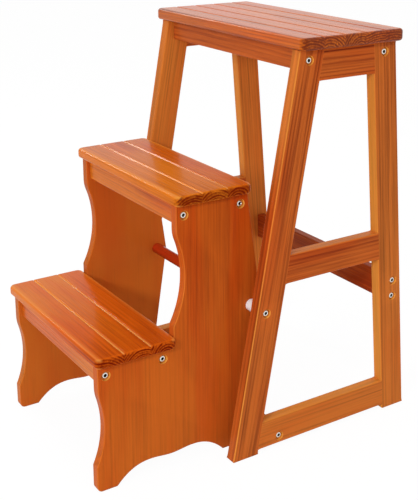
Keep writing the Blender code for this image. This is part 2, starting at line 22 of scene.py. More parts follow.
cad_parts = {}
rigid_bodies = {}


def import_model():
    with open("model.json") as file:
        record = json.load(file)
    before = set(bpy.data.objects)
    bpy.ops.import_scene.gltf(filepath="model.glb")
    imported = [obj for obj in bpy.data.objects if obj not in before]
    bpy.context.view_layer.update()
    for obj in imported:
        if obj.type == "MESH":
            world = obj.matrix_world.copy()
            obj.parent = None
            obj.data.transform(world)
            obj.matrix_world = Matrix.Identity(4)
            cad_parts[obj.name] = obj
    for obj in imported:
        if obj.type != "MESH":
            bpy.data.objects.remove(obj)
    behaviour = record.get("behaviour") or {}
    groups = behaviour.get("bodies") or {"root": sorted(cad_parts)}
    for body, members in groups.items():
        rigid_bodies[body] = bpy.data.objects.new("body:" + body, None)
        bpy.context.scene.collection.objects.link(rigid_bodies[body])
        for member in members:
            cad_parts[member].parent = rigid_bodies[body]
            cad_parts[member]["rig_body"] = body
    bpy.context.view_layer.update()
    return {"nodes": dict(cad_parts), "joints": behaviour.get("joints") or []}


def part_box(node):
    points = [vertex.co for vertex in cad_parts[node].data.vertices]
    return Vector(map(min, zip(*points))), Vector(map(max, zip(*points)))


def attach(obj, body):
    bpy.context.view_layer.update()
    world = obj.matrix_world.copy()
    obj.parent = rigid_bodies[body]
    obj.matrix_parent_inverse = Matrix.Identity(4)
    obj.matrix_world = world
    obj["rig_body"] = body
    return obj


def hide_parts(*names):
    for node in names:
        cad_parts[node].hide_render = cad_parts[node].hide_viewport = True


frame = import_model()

# %% [markdown]
# ## The camera
#
# The photograph looks down a little on the front right corner of the stool. Its vertical lines
# stay almost upright, which is what a lens gives that is shifted downwards and not tilted far,
# so the camera gets a small tilt and a small shift instead of a steep tilt.

# %% The camera
camera_place = (1.30954, -0.81969, 0.85710)
camera_turn = math.radians(56.797)
camera_tilt = math.radians(15.138)
lens_length = 72.0
frame_shift = (-0.026, -0.2)


def put_in_scene(name, data):
    """A new object of the scene for a mesh, a lamp or a camera."""
    thing = bpy.data.objects.new(name, data)
    bpy.context.scene.collection.objects.link(thing)
    return thing


camera_data = bpy.data.cameras.new("studio_camera")
camera = put_in_scene("studio_camera", camera_data)
camera.location = camera_place
camera.rotation_euler = (math.pi / 2 - camera_tilt, 0, camera_turn)
camera_data.lens = lens_length
camera_data.shift_x, camera_data.shift_y = frame_shift
bpy.context.scene.camera = camera
print("Camera stands", round(Vector(camera_place).length, 3), "m from the stool's middle")

# %% [markdown]
# ## From arrays to meshes
#
# Every new piece is a set of numpy arrays: a grid of points and the faces between neighbours.
# One could add vertices one at a time, but a whole array at once is shorter to read and much
# quicker. The shading is finished by a Weighted Normal modifier, which lets the big flat faces
# stay flat and puts all of the bending into the small rounded arrises.

# %% Faces of a grid
def grid_faces(index):
    """Quads of a grid of point numbers. Quad (i, j) joins a point, its neighbour in the next
    column, the one after that in the next row, and its neighbour in the next row."""
    quads = np.stack([index[:-1, :-1], index[:-1, 1:], index[1:, 1:], index[1:, :-1]], -1)
    return quads.reshape(-1, 4)


def ring_faces(index):
    """Quads of a grid whose rows close on themselves: the last column joins the first again."""
    return grid_faces(np.concatenate([index, index[:, :1]], 1))


test_grid = np.arange(12).reshape(3, 4)
print("A grid of 3 by 4 points has", len(grid_faces(test_grid)), "faces, and 3 rings of 4 have",
      len(ring_faces(test_grid)))

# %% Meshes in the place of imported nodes
sharp_turn = math.radians(38)
large_face_weight = 100


def make_piece(name, points, faces, finish, layers=None):
    """A mesh object at the origin from an array of points and a list of face arrays. Layers are
    numbers or vectors at the points, for the finish to read."""
    mesh = bpy.data.meshes.new(name)
    mesh.from_pydata(points.tolist(), [], [face for group in faces for face in group.tolist()])
    for title, values in (layers or {}).items():
        kind, field = ('FLOAT_VECTOR', "vector") if values.ndim == 2 else ('FLOAT', "value")
        layer = mesh.attributes.new(title, kind, 'POINT')
        layer.data.foreach_set(field, values.astype(np.float32).ravel())
    mesh.materials.append(finish)
    mesh.validate()
    mesh.shade_smooth()
    mesh.set_sharp_from_angle(angle=sharp_turn)
    piece = put_in_scene(name, mesh)
    shading = piece.modifiers.new("flat_faces_stay_flat", 'WEIGHTED_NORMAL')
    shading.keep_sharp = True
    shading.weight = large_face_weight
    return piece


def corners_of(node):
    """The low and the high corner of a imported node, as arrays."""
    return (np.array(corner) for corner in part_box(node))


def stand_for(piece, node):
    """The piece takes the place of a node of the same shape and moves with its body."""
    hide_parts(node)
    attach(piece, frame["nodes"][node]["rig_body"])


# %% [markdown]
# ## Stained pine
#
# Pine shows growth rings: soft pale wood that darkens slowly towards a hard dark line and then
# starts pale again. In a board that is cut along the trunk the rings are long streaks, and at
# its ends they are arcs. An image of wood could be wrapped on each piece, but it would break
# at every edge. Here the wood is a solid: every piece carries its own coordinates, along the
# grain, across and through, measured from the middle of the trunk that it was cut from. One
# formula then gives the streaks on the faces and the arcs on the ends, and they meet.

# %% Small helpers for node trees
def new_group(name, inputs):
    """A node group with named inputs and the three outputs of a surface, and its two end nodes."""
    tree = bpy.data.node_groups.new(name, 'ShaderNodeTree')
    for title, kind in inputs:
        tree.interface.new_socket(title, in_out='INPUT', socket_type='NodeSocket' + kind)
    for title, kind in (("Color", 'Color'), ("Roughness", 'Float'), ("Height", 'Float')):
        tree.interface.new_socket(title, in_out='OUTPUT', socket_type='NodeSocket' + kind)
    return tree, tree.nodes.new('NodeGroupInput').outputs, tree.nodes.new('NodeGroupOutput').inputs


def feed(tree, socket, value):
    """Link a socket to another one, or write a plain value on it."""
    if isinstance(value, bpy.types.NodeSocket):
        tree.links.new(value, socket)
    else:
        socket.default_value = value


def sums(tree, operation, *values):
    """One step of arithmetic on numbers or sockets."""
    node = tree.nodes.new('ShaderNodeMath')
    node.operation = operation
    for socket, value in zip(node.inputs, values):
        feed(tree, socket, value)
    return node.outputs[0]


def swayed(tree, wave, gain, base):
    """A value that noise moves up and down: the base plus the gain times the noise less a half."""
    return sums(tree, 'MULTIPLY_ADD', sums(tree, 'SUBTRACT', wave, 0.5), gain, base)


def noise(tree, vector, scale, detail=2.0):
    """Smooth noise from 0 to 1 around 0.5. The scale is in waves to a metre, for each direction."""
    stretched = tree.nodes.new('ShaderNodeVectorMath')
    stretched.operation = 'MULTIPLY'
    feed(tree, stretched.inputs[0], vector)
    stretched.inputs[1].default_value = scale
    node = tree.nodes.new('ShaderNodeTexNoise')
    tree.links.new(stretched.outputs[0], node.inputs['Vector'])
    node.inputs['Scale'].default_value = 1.0
    node.inputs['Detail'].default_value = detail
    return node.outputs[0]


def eased(tree, value, low, high, to_low=0.0, to_high=1.0):
    """A smooth step that goes from one value to another between two limits."""
    node = tree.nodes.new('ShaderNodeMapRange')
    node.interpolation_type = 'SMOOTHSTEP'
    for title, number in (('Value', value), ('From Min', low), ('From Max', high),
                          ('To Min', to_low), ('To Max', to_high)):
        feed(tree, node.inputs[title], number)
    return node.outputs[0]


def blended(tree, share, first, second, kind='MIX'):
    """A mix of two colours by a share. A Mix node's colours are its sockets 6 and 7, and come out at 2."""
    node = tree.nodes.new('ShaderNodeMix')
    node.data_type = 'RGBA'
    node.blend_type = kind
    for number, value in ((0, share), (6, first), (7, second)):
        feed(tree, node.inputs[number], value)
    return node.outputs[2]


# %% [markdown]
# The distance from the trunk's middle, bent a little by slow noise, is divided by the width of
# one year's growth. The fraction of the result climbs from 0 to 1 over each year, and a smooth
# step turns it into the dark line. Some years are darker than others, so each whole number of
# years gets a strength of its own.

# %% Year lines
# Waves to a metre along, across and through the board, for each kind of noise.
slow_bend, small_bend = (1.6, 14.0, 14.0), (7.0, 90.0, 90.0)
# Where in a year the wood darkens and where its dark line stops, how far two neighbouring years
# lie apart in the noise of their strengths, and the limits of that noise and of the strengths.
darkening, line_stop = (0.10, 0.78), (0.80, 1.0)
year_step = 0.73
strength_noise, strengths = (0.3, 0.7), (0.2, 1.0)


def year_lines(tree, board, width, waviness):
    """How dark the year line is at each point. The distance from the trunk's middle is the root of
    across squared plus through squared. It is bent by two noises and divided by the width of a
    year, and its fraction rises smoothly and falls quickly, times the year's strength."""
    parts = tree.nodes.new('ShaderNodeSeparateXYZ')
    tree.links.new(board, parts.inputs[0])
    squares = [sums(tree, 'POWER', sums(tree, 'ABSOLUTE', part), 2.0) for part in parts.outputs[1:]]
    radius = sums(tree, 'SQRT', sums(tree, 'ADD', *squares))
    bent = swayed(tree, noise(tree, board, slow_bend, detail=1.0), waviness, radius)
    bent = swayed(tree, noise(tree, board, small_bend), sums(tree, 'MULTIPLY', width, 0.5), bent)
    years = sums(tree, 'DIVIDE', bent, width)
    share = sums(tree, 'FRACT', years)
    line = sums(tree, 'MULTIPLY', eased(tree, share, *darkening),
                eased(tree, share, *line_stop, 1.0, 0.0))
    each = tree.nodes.new('ShaderNodeTexNoise')
    each.noise_dimensions = '1D'
    each.inputs['Scale'].default_value = 1.0
    feed(tree, each.inputs['W'], sums(tree, 'MULTIPLY', sums(tree, 'FLOOR', years), year_step))
    return sums(tree, 'MULTIPLY', line, eased(tree, each.outputs[0], *strength_noise, *strengths))


# %% [markdown]
# Finer noise, drawn out along the grain, adds bands, fibres and clouds, and patches of redder
# wood. The stain soaks deeper into end grain, so that is darker. The arrises are lighter, partly
# as stain rubbed thin and partly as a painted highlight. Where the stain is scraped off, in the
# treads' grooves and the bolts' recesses, the bare wood shows, and the same mix paints light on
# faces and arrises and shade in the top step's grooves.

# %% The pine group
band_waves, fibre_waves = (4.0, 280.0, 280.0), (16.0, 620.0, 620.0)
cloud_waves, fleck_waves = (5.0, 22.0, 22.0), (55.0, 1500.0, 1500.0)
patch_waves = (3.5, 19.0, 19.0)
fleck_limits, patch_limits = (0.66, 0.78), (0.40, 0.64)
# How much each part adds to the darkness, and the darkness of the palest and the darkest wood.
band_gain, fibre_gain, cloud_gain, fleck_gain = 4.0, 0.85, 0.75, 0.12
# The arrises are lightened, partly as stain worn thin and partly as a painted highlight.
soak, soak_in_lines, arris_wear_and_highlight = 0.48, 0.95, -0.32
palest, darkest = -0.35, 1.15
red_stain = (0.96, 0.62, 0.50, 1)
# How much fibres, end grain and flecks roughen the varnish, and how deep a year line sinks.
fibre_rough, end_rough, fleck_rough, line_sink = 0.10, 0.12, 0.05, 0.35


def build_pine_group():
    """The wood's colour, roughness and height from its own coordinates. The darkness is the sum of
    year lines, bands, fibres, clouds, flecks, tone and end grain, less the arris, and a smooth
    step turns it into the share of the dark colour."""
    tree, put, out = new_group("stained_pine", [("Board", 'Vector')] + [
        (title, 'Float') for title in ("Tone", "End Grain", "Arris", "Bare", "Red", "Year Width",
                                       "Waviness", "Streaks", "Red Patches", "Gloss")] + [
        (title, 'Color') for title in ("Pale Wood", "Dark Wood", "Bare Wood")])
    board = put["Board"]
    line = year_lines(tree, board, put["Year Width"], put["Waviness"])
    bands = noise(tree, board, band_waves)
    fibres = noise(tree, board, fibre_waves, detail=3.0)
    clouds = noise(tree, board, cloud_waves)
    flecks = eased(tree, noise(tree, board, fleck_waves, detail=1.0), *fleck_limits)
    shade = sums(tree, 'MULTIPLY', swayed(tree, bands, band_gain, line), put["Streaks"])
    shade = swayed(tree, fibres, fibre_gain, shade)
    shade = swayed(tree, clouds, cloud_gain, shade)
    shade = sums(tree, 'MULTIPLY_ADD', flecks, fleck_gain, shade)
    shade = sums(tree, 'ADD', shade, put["Tone"])
    soaked = sums(tree, 'MULTIPLY_ADD', line, soak_in_lines, soak)
    shade = sums(tree, 'MULTIPLY_ADD', put["End Grain"], soaked, shade)
    shade = sums(tree, 'MULTIPLY_ADD', put["Arris"], arris_wear_and_highlight, shade)
    colour = blended(tree, eased(tree, shade, palest, darkest), put["Pale Wood"], put["Dark Wood"])
    redder = eased(tree, noise(tree, board, patch_waves, detail=3.0), *patch_limits)
    redder = sums(tree, 'MULTIPLY_ADD', redder, put["Red Patches"], put["Red"])
    colour = blended(tree, redder, colour, red_stain, 'MULTIPLY')
    tree.links.new(blended(tree, put["Bare"], colour, put["Bare Wood"]), out["Color"])

    rough = swayed(tree, fibres, fibre_rough, put["Gloss"])
    rough = sums(tree, 'MULTIPLY_ADD', put["End Grain"], end_rough, rough)
    tree.links.new(sums(tree, 'MULTIPLY_ADD', flecks, fleck_rough, rough), out["Roughness"])
    height = sums(tree, 'SUBTRACT', fibres, sums(tree, 'MULTIPLY', line, line_sink))
    tree.links.new(sums(tree, 'SUBTRACT', height, flecks), out["Height"])
    return tree


pine_group = build_pine_group()
print("The pine group has", len(pine_group.nodes), "nodes")

# %% [markdown]
# A material wraps the group: one Principled shader takes its colour, roughness and relief from
# the group's three outputs, and the group reads what the mesh carries at each point.

# %% Shaders and what they read
def plain_shader(name, viewport_colour):
    """A material with one Principled shader, its node tree and that shader."""
    material = bpy.data.materials.new(name)
    material.use_nodes = True
    material.diffuse_color = (*viewport_colour, 1)
    return material, material.node_tree, material.node_tree.nodes["Principled BSDF"]


def surface_group(tree, group):
    """A node that uses a group in a material."""
    node = tree.nodes.new('ShaderNodeGroup')
    node.node_tree = group
    return node


def add_relief(tree, shader, height, strength, depth):
    """A Bump node between a height and the shader's normal."""
    relief = tree.nodes.new('ShaderNodeBump')
    relief.inputs['Strength'].default_value = strength
    relief.inputs['Distance'].default_value = depth
    tree.links.new(height, relief.inputs['Height'])
    tree.links.new(relief.outputs[0], shader.inputs['Normal'])


def wear_surface(tree, shader, surface, strength, depth):
    """The shader takes its colour, roughness and relief from a group's node."""
    tree.links.new(surface.outputs["Color"], shader.inputs['Base Color'])
    tree.links.new(surface.outputs["Roughness"], shader.inputs['Roughness'])
    add_relief(tree, shader, surface.outputs["Height"], strength, depth)


def read_layer(tree, title, output='Fac'):
    """A value that the piece's own mesh carries."""
    node = tree.nodes.new('ShaderNodeAttribute')
    node.attribute_name = title
    return node.outputs[output]


# %% [markdown]
# What is the same all over a piece, such as the varnish's tint and the roughness of its coat,
# is written on the shader itself. The varnish of the two treads is worn thin towards the right,
# so there the weight of the coat follows a layer of the mesh.

# %% Varnished pine
relief_depth = 0.0003
varnish_tint = (1.0, 0.50, 0.16, 1)
coat_roughness = 0.10
bare_pine = (1.0, 0.50, 0.11)


def pine(name, pale, dark, year_width, waviness, streaks, patches, gloss, ior, coat, bump,
         bare_wood_and_painted_light=bare_pine, thinning=False, node_place=None, node_tone=0.0):
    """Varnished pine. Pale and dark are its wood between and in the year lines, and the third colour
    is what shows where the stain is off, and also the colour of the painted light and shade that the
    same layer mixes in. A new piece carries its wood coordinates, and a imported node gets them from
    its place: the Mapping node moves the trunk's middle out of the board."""
    material, tree, shader = plain_shader(name, pale)
    wood = surface_group(tree, pine_group)
    if node_place is None:
        tree.links.new(read_layer(tree, "board", 'Vector'), wood.inputs["Board"])
        for title in ("Tone", "End Grain", "Arris", "Bare", "Red"):
            tree.links.new(read_layer(tree, title.lower().replace(" ", "_")), wood.inputs[title])
    else:
        place = tree.nodes.new('ShaderNodeTexCoord')
        moved = tree.nodes.new('ShaderNodeMapping')
        moved.inputs['Location'].default_value = node_place
        tree.links.new(place.outputs['Object'], moved.inputs['Vector'])
        tree.links.new(moved.outputs[0], wood.inputs["Board"])
        wood.inputs["Tone"].default_value = node_tone
    for title, value in (("Year Width", year_width), ("Waviness", waviness), ("Streaks", streaks),
                         ("Red Patches", patches), ("Gloss", gloss), ("Pale Wood", (*pale, 1)),
                         ("Dark Wood", (*dark, 1)), ("Bare Wood", (*bare_wood_and_painted_light, 1))):
        wood.inputs[title].default_value = value
    wear_surface(tree, shader, wood, bump, relief_depth)
    shader.inputs['IOR'].default_value = ior
    shader.inputs['Specular Tint'].default_value = varnish_tint
    shader.inputs['Coat Roughness'].default_value = coat_roughness
    shader.inputs['Coat Weight'].default_value = coat
    if thinning:
        thinned = sums(tree, 'MULTIPLY', read_layer(tree, "varnish"), coat)
        tree.links.new(thinned, shader.inputs['Coat Weight'])
    return material


# %% [markdown]
# Seven looks come from that group. The legs and rails have bold streaks, and the boards across
# the frame are calmer. The top step is the glossiest, and its grooves are darkened with painted
# shade. In the grooves of the two treads the bare wood shows, and their front boards are redder
# and less glossy. The side boards are wide and finely grained, and the pivot dowel is a darker red.

# %% The finishes of the wood
frame_look = dict(pale=(0.62, 0.134, 0.021), dark=(0.19, 0.022, 0.006), bare_wood_and_painted_light=(1.0, 0.45, 0.07),
                  year_width=0.0056, waviness=0.024, streaks=0.48, patches=0.7,
                  gloss=0.28, ior=1.13, coat=0.02, bump=0.20)
apron_look = dict(frame_look, streaks=0.22, patches=0.9)
# The top step's groove colour is a near-black painted shade.
step_look = dict(pale=(0.66, 0.142, 0.008), dark=(0.17, 0.018, 0.002), bare_wood_and_painted_light=(0.10, 0.06, 0.045),
                 year_width=0.0041, waviness=0.018, streaks=0.45, patches=0.55,
                 gloss=0.28, ior=1.33, coat=0.12, bump=0.15)
tread_look = dict(step_look, pale=(0.72, 0.185, 0.011), dark=(0.18, 0.012, 0.001),
                  bare_wood_and_painted_light=bare_pine, streaks=0.24, patches=0.75, ior=1.10, coat=0.30)
riser_look = dict(tread_look, ior=1.18, coat=0.08)
board_look = dict(pale=(0.61, 0.108, 0.009), dark=(0.22, 0.024, 0.003), bare_wood_and_painted_light=(1.0, 0.48, 0.08),
                  year_width=0.0060, waviness=0.024, streaks=0.20, patches=0.85,
                  gloss=0.26, ior=1.11, coat=0.02, bump=0.15)
dowel_look = dict(pale=(0.55, 0.056, 0.010), dark=(0.09, 0.005, 0.001),
                  year_width=0.003, waviness=0.010, streaks=0.30, patches=0.6,
                  gloss=0.20, ior=1.33, coat=0.10, bump=0.15)
frame_pine = pine("frame_pine", **frame_look)
step_pine = pine("step_pine", **step_look)
tread_pine = pine("tread_pine", thinning=True, **tread_look)
board_pine = pine("board_pine", **board_look)
dowel_pine = pine("dowel_pine", **dowel_look)
print("Wood finishes:", [m.name for m in (frame_pine, step_pine, tread_pine, board_pine, dowel_pine)])

# %% [markdown]
# ## Metal and nylon
#
# The bolts are nickel-plated: bright, with a very fine grain and dull spots, and painted dark
# down in the socket as painted shade. The nuts are plainer. The spacer washers on the pivot are
# white nylon with a faint haze.

# %% The metal group
# The dark colour of the painted shade in a bolt's socket.
painted_socket_shade = (0.02, 0.016, 0.012, 1)
dull_plate = (0.42, 0.38, 0.33, 1)
grain_waves, spot_waves = (3000.0, 3000.0, 3000.0), (420.0, 420.0, 420.0)
# How much the spots dull the colour, and how much spots and the socket's painted shade roughen it.
spot_share, spot_rough, socket_rough = 0.35, 0.25, 0.45
metal_relief = (0.12, 0.00005)


def build_metal_group():
    """The colour, roughness and height of small plated pieces from their Object coordinates: two
    noises, the fine one as relief and the coarse one as dull spots, and painted shade in the socket
    from the mesh."""
    tree, put, out = new_group("plated_metal", [("Place", 'Vector'), ("Dust", 'Float'),
                                                ("Plate", 'Color'), ("Gloss", 'Float')])
    fine_grain = noise(tree, put["Place"], grain_waves)
    spots = noise(tree, put["Place"], spot_waves, detail=3.0)
    tint = blended(tree, sums(tree, 'MULTIPLY', spots, spot_share), put["Plate"], dull_plate)
    tree.links.new(blended(tree, put["Dust"], tint, painted_socket_shade), out["Color"])
    rough = swayed(tree, spots, spot_rough, put["Gloss"])
    tree.links.new(sums(tree, 'MULTIPLY_ADD', put["Dust"], socket_rough, rough), out["Roughness"])
    tree.links.new(fine_grain, out["Height"])
    return tree


metal_group = build_metal_group()
print("The metal group has", len(metal_group.nodes), "nodes")

# %% Plated metal and nylon
hazy_nylon = (0.90, 0.92, 0.93, 1)
haze_waves, skin_waves = (180.0, 180.0, 180.0), (1400.0, 1400.0, 1400.0)
haze_rough, nylon_gloss = 0.15, 0.32
nylon_relief = (0.1, 0.0001)


def plated(name, plate, gloss, has_socket_shade):
    """A plated metal finish on Object coordinates."""
    material, tree, shader = plain_shader(name, plate)
    metal = surface_group(tree, metal_group)
    place = tree.nodes.new('ShaderNodeTexCoord')
    tree.links.new(place.outputs['Object'], metal.inputs["Place"])
    if has_socket_shade:
        tree.links.new(read_layer(tree, "dust"), metal.inputs["Dust"])
    metal.inputs["Plate"].default_value = (*plate, 1)
    metal.inputs["Gloss"].default_value = gloss
    wear_surface(tree, shader, metal, *metal_relief)
    shader.inputs['Metallic'].default_value = 1.0
    return material


def nylon(name, colour):
    """White nylon: noise mixes two whites and roughens it, and finer noise is its moulded skin."""
    material, tree, shader = plain_shader(name, colour)
    place = tree.nodes.new('ShaderNodeTexCoord').outputs['Object']
    haze = noise(tree, place, haze_waves)
    tree.links.new(blended(tree, haze, (*colour, 1), hazy_nylon), shader.inputs['Base Color'])
    tree.links.new(sums(tree, 'MULTIPLY_ADD', haze, haze_rough, nylon_gloss), shader.inputs['Roughness'])
    add_relief(tree, shader, noise(tree, place, skin_waves), *nylon_relief)
    return material


bolt_plate = plated("nickel_bolt", (0.84, 0.82, 0.78), 0.22, True)
nut_plate = plated("zinc_nut", (0.62, 0.60, 0.55), 0.36, False)
spacer_white = nylon("white_nylon", (0.95, 0.97, 0.99))
print("Small finishes:", [m.name for m in (bolt_plate, nut_plate, spacer_white)])

# %% [markdown]
# ## The coordinates of the wood
#
# Each piece is sawn from another part of a trunk. The helper gives a piece, or a strip of a
# step, its own distance from the middle of the trunk and its own length along it. The numbers
# come from a fixed rule of fractions and not from chance, so that every run is the same.

# %% Where each board was sawn
golden_share = 0.6180339887
rift_sawn = ((0.060, 0.120), (0.030, 0.060))
flat_sawn = ((-0.012, 0.012), (0.010, 0.060))
trunk_length = 4.0
tone_spread = 0.16


def sawn_from(number, cut):
    """Offsets along, across and through the trunk and a tone, from the fractions of multiples of
    the golden share: they spread evenly and never repeat. The cut gives the limits of the
    offsets across and through."""
    multiples = np.array([1.0, 2.0, 3.0, 5.0])
    spread = (np.asarray(number, float)[..., None] * golden_share * multiples) % 1.0
    along = trunk_length * spread[..., 0] + 1.0
    across, through = (low + (high - low) * spread[..., 1 + k] for k, (low, high) in enumerate(cut))
    return along, across, through, tone_spread * (spread[..., 3] - 0.5)


test_board = [round(float(offset), 3) for offset in sawn_from(41, rift_sawn)[:3]]
print("Board 41 lies", test_board, "m along its trunk, across it and through it from its middle")

# %% What the wood's finish reads at each point
end_grain_gain = 1.3


def corner_normals(points, faces):
    """The direction at each point: the sum of the faces' own directions there, each as long as
    its face is large, made one unit long."""
    total = np.zeros_like(points)
    for group in faces:
        for lap in range(1, group.shape[1] - 1):
            first, second, third = group[:, 0], group[:, lap], group[:, lap + 1]
            direction = np.cross(points[second] - points[first], points[third] - points[first])
            for corner in (first, second, third):
                np.add.at(total, corner, direction)
    return total / np.maximum(np.linalg.norm(total, axis=1, keepdims=True), 1e-12)


def wood_layers(wood, number, cut, directions, arris):
    """The layers that the pine reads at each point: wood coordinates, tone, end grain, arris, the share
    of stripped wood and painted light, and red. End grain goes with the square of how far a point's
    direction lies along the grain."""
    along, across, through, tone = sawn_from(number, cut)
    return {"board": wood + np.stack([along, across, through], -1),
            "tone": np.broadcast_to(tone, len(wood)).copy(),
            "end_grain": np.clip(end_grain_gain * directions[:, 0] ** 2, 0, 1),
            "arris": arris, "bare": np.zeros(len(wood)), "red": np.zeros(len(wood))}


# %% [markdown]
# ## Boards with rounded arrises and grooves
#
# The three steps are glued-up boards with rounded corners, a rounded arris all round and
# V-shaped grooves along their length. A box with a Bevel would give the arris, but the grooves
# have eased lips that catch the light, and they run out through the rounded ends. So a step is
# two sheets over one plan. Lines run along the board and end on the curve of its corners. The
# height of a point is the full thickness, less the arris near the plan's edge, or less the
# groove, whichever is lower.

# %% Curves across a board
def quarter(radius, steps):
    """Distances from an edge that divide a quarter circle evenly: radius times one minus cosine."""
    return radius * (1 - np.cos(np.linspace(0, math.pi / 2, steps + 1)))


def groove_fall(offset, depth, half_width, lip=0.09, root=0.0004):
    """How far a V groove falls: its depth times the part of the half width that is left, where
    a hyperbola rounds both the lips and the root."""
    left = 1 - np.sqrt(offset ** 2 + root ** 2) / half_width
    return depth * (left + np.sqrt(left ** 2 + lip ** 2)) / 2


print("A groove 2.5 mm deep falls", [round(1000 * groove_fall(k / 1000, 0.0025, 0.0025), 2)
                                     for k in range(4)], "mm, every millimetre from its middle")

# %% The board as two sheets over one plan
groove_reach = 2.4
groove_lines = 23
closest_lines = 2e-5


def board_sheets(length, width, thickness, corner, arris, grooves=(), depth=0.0, steps=6):
    """Points and faces of a board about its own middle, X along it and Z through it. The lines end
    at half the length less the corner plus the root of corner squared less how far they are into
    the corner squared. Near the plan's edge the sheets fall on a quarter circle of the arris
    radius. Three more numbers come for each point: how rounded the arris is there, how deep it
    lies in a groove, as the square of the share of its depth, and how near a rounded corner, as
    twice the product of its shares of the corner's radius along and across."""
    half = np.array([length, width, thickness]) / 2
    inner = half[:2] - corner
    edge = np.unique(np.round(np.concatenate([quarter(arris, steps), quarter(corner, steps)]), 7))
    beside = groove_reach * depth * np.linspace(-1, 1, groove_lines)
    rows = np.sort(np.concatenate([edge - half[1], half[1] - edge] + [g + beside for g in grooves]))
    rows = rows[np.concatenate([[True], np.diff(rows) > closest_lines])]
    into = np.maximum(np.abs(rows) - inner[1], 0)
    ends = inner[0] + np.sqrt(np.maximum(corner ** 2 - into ** 2, 0))
    back = quarter(arris, steps)
    x = np.concatenate([back[None, :] - ends[:, None], (ends[:, None] - back[None, :])[:, ::-1]], 1)
    y = np.broadcast_to(rows[:, None], x.shape)

    reach = np.stack([np.abs(x) - inner[0], np.abs(y) - inner[1]], -1)
    outside = np.linalg.norm(np.maximum(reach, 0), axis=-1) + np.minimum(reach.max(-1), 0) - corner
    near = arris - np.minimum(np.maximum(-outside, 0), arris)
    fall = arris - np.sqrt(np.maximum(arris ** 2 - near ** 2, 0))
    cut = sum((groove_fall(y - g, depth, depth) for g in grooves), np.zeros_like(y))
    top = np.stack([x, y, half[2] - np.maximum(fall, cut)], -1).reshape(-1, 3)
    bottom = np.stack([x, y, fall - half[2]], -1).reshape(-1, 3)

    index = np.arange(x.size).reshape(x.shape)
    loop = np.concatenate([index[0, :-1], index[:-1, -1], index[-1, :0:-1], index[:0:-1, 0]])
    wall = ring_faces(np.stack([loop + x.size, loop]))
    faces = [grid_faces(index), grid_faces(index)[:, ::-1] + x.size, wall]
    rounding = np.tile(np.sin(math.pi * np.clip(near / arris, 0, 1)).ravel(), 2)
    grooved = np.concatenate([((cut / depth) ** 2 * (1 - near / arris) ** 2).ravel(), np.zeros(x.size)])
    cornered = np.tile(2 * np.clip(reach / corner, 0, 1).prod(-1).ravel(), 2) * rounding
    return np.concatenate([top, bottom]), faces, rounding, grooved, cornered


print("A test board has", len(board_sheets(0.3, 0.1, 0.016, 0.008, 0.004, [0.0], 0.002)[0]), "points")

# %% [markdown]
# Each strip between two grooves came from its own board in the glue-up, so each gets its own
# place in the trunk. The pitch of the grooves is the depth of the step shared out evenly. The
# cutter went through the treads' stain, so their grooves are bare, and so are their corners,
# where feet rub; their pale corners also stand in for a painted highlight. The top step's grooves
# and arrises are darkened with painted shade. Both treads lose their gloss towards the right, and
# the lower one is darker there, as painted shade, and redder.

# %% The three steps
corner_radius = 0.010
step_arris = 0.005
groove_depth = 0.0025
corner_share, arris_share = 0.6, 0.7
first_strip, strips_apart = 11, 7
# In the middle of a tread and from end to end: the share of red, and how much varnish is left.
red_middle, red_rise = 0.3, 1.4
varnish_middle, varnish_fall = 0.55, 1.1
# Finish, number of grooves, share of the groove colour (bare wood on the treads, painted shade
# on the top step), painted shade in the grooves and on the arrises, tone, painted shade towards the
# right, how much redder.
step_table = {
    "top_step": (step_pine, 4, 0.85, 0.9, 0.0, 0.0, 0.0),
    "middle_tread": (tread_pine, 2, 1.0, 0.0, -0.06, -0.05, 0.0),
    "lower_tread": (tread_pine, 2, 1.0, 0.0, -0.06, 0.36, 1.0),
}
for order, (node, (finish, count, groove_colour_share, groove_and_arris_shade, tone, shade_to_right, red)) in enumerate(step_table.items()):
    low, high = corners_of(node)
    length, width, thickness = high - low
    pitch = width / (count + 1)
    lines = [pitch * (k - (count - 1) / 2) for k in range(count)]
    points, faces, rounding, grooved, cornered = board_sheets(
        length, width, thickness, corner_radius, step_arris, lines, groove_depth)
    strip = np.clip(np.floor(points[:, 1] / pitch + (count + 1) / 2), 0, count)
    wood = points.copy()
    wood[:, 1] -= (strip - count / 2) * pitch
    number = first_strip + strips_apart * order + strip
    layers = wood_layers(wood, number, flat_sawn, corner_normals(points, faces), rounding)
    right = points[:, 0] / length
    # Bare wood in the treads' grooves and on their corners, whose pale colour also stands in for a painted
    # highlight; the top step's grooves get its painted shade colour.
    layers["bare"] = groove_colour_share * np.maximum(grooved, corner_share * cornered * (1 - groove_and_arris_shade))
    # Painted shade darkens the top step's grooves and arrises.
    layers["tone"] += tone + groove_and_arris_shade * np.maximum(grooved, arris_share * rounding)
    # Painted shade darkens the lower tread towards the right; the middle one gets a little lighter there.
    layers["tone"] += 2 * shade_to_right * right * (1 - layers["end_grain"])
    layers["red"] = red * np.clip(red_middle + red_rise * right, 0, 1)
    if finish is tread_pine:
        layers["varnish"] = np.clip(varnish_middle - varnish_fall * right, 0, 1)
    piece = make_piece(node + "_wood", points + (low + high) / 2, faces, finish, layers)
    stand_for(piece, node)
    print(node, "has", count + 1, "strips of", round(1000 * pitch, 1), "mm and", len(points), "points")

# %% [markdown]
# ## Plates seen from the side
#
# Legs, side rails and side boards are flat boards sawn to an outline. Their recesses for the
# bolts could be cut with Booleans, but the arris has to keep to the outline and to fade where a
# rail meets a leg, so here too the surface is worked out. The outline is carried through the
# thickness, and moved inwards near both faces by the same quarter circle. The two faces are
# then filled, with the rims of the recesses left open and their walls built down to the bottom.

# %% Outlines
sharpest_corner = 0.2
most_of_a_side = 0.45


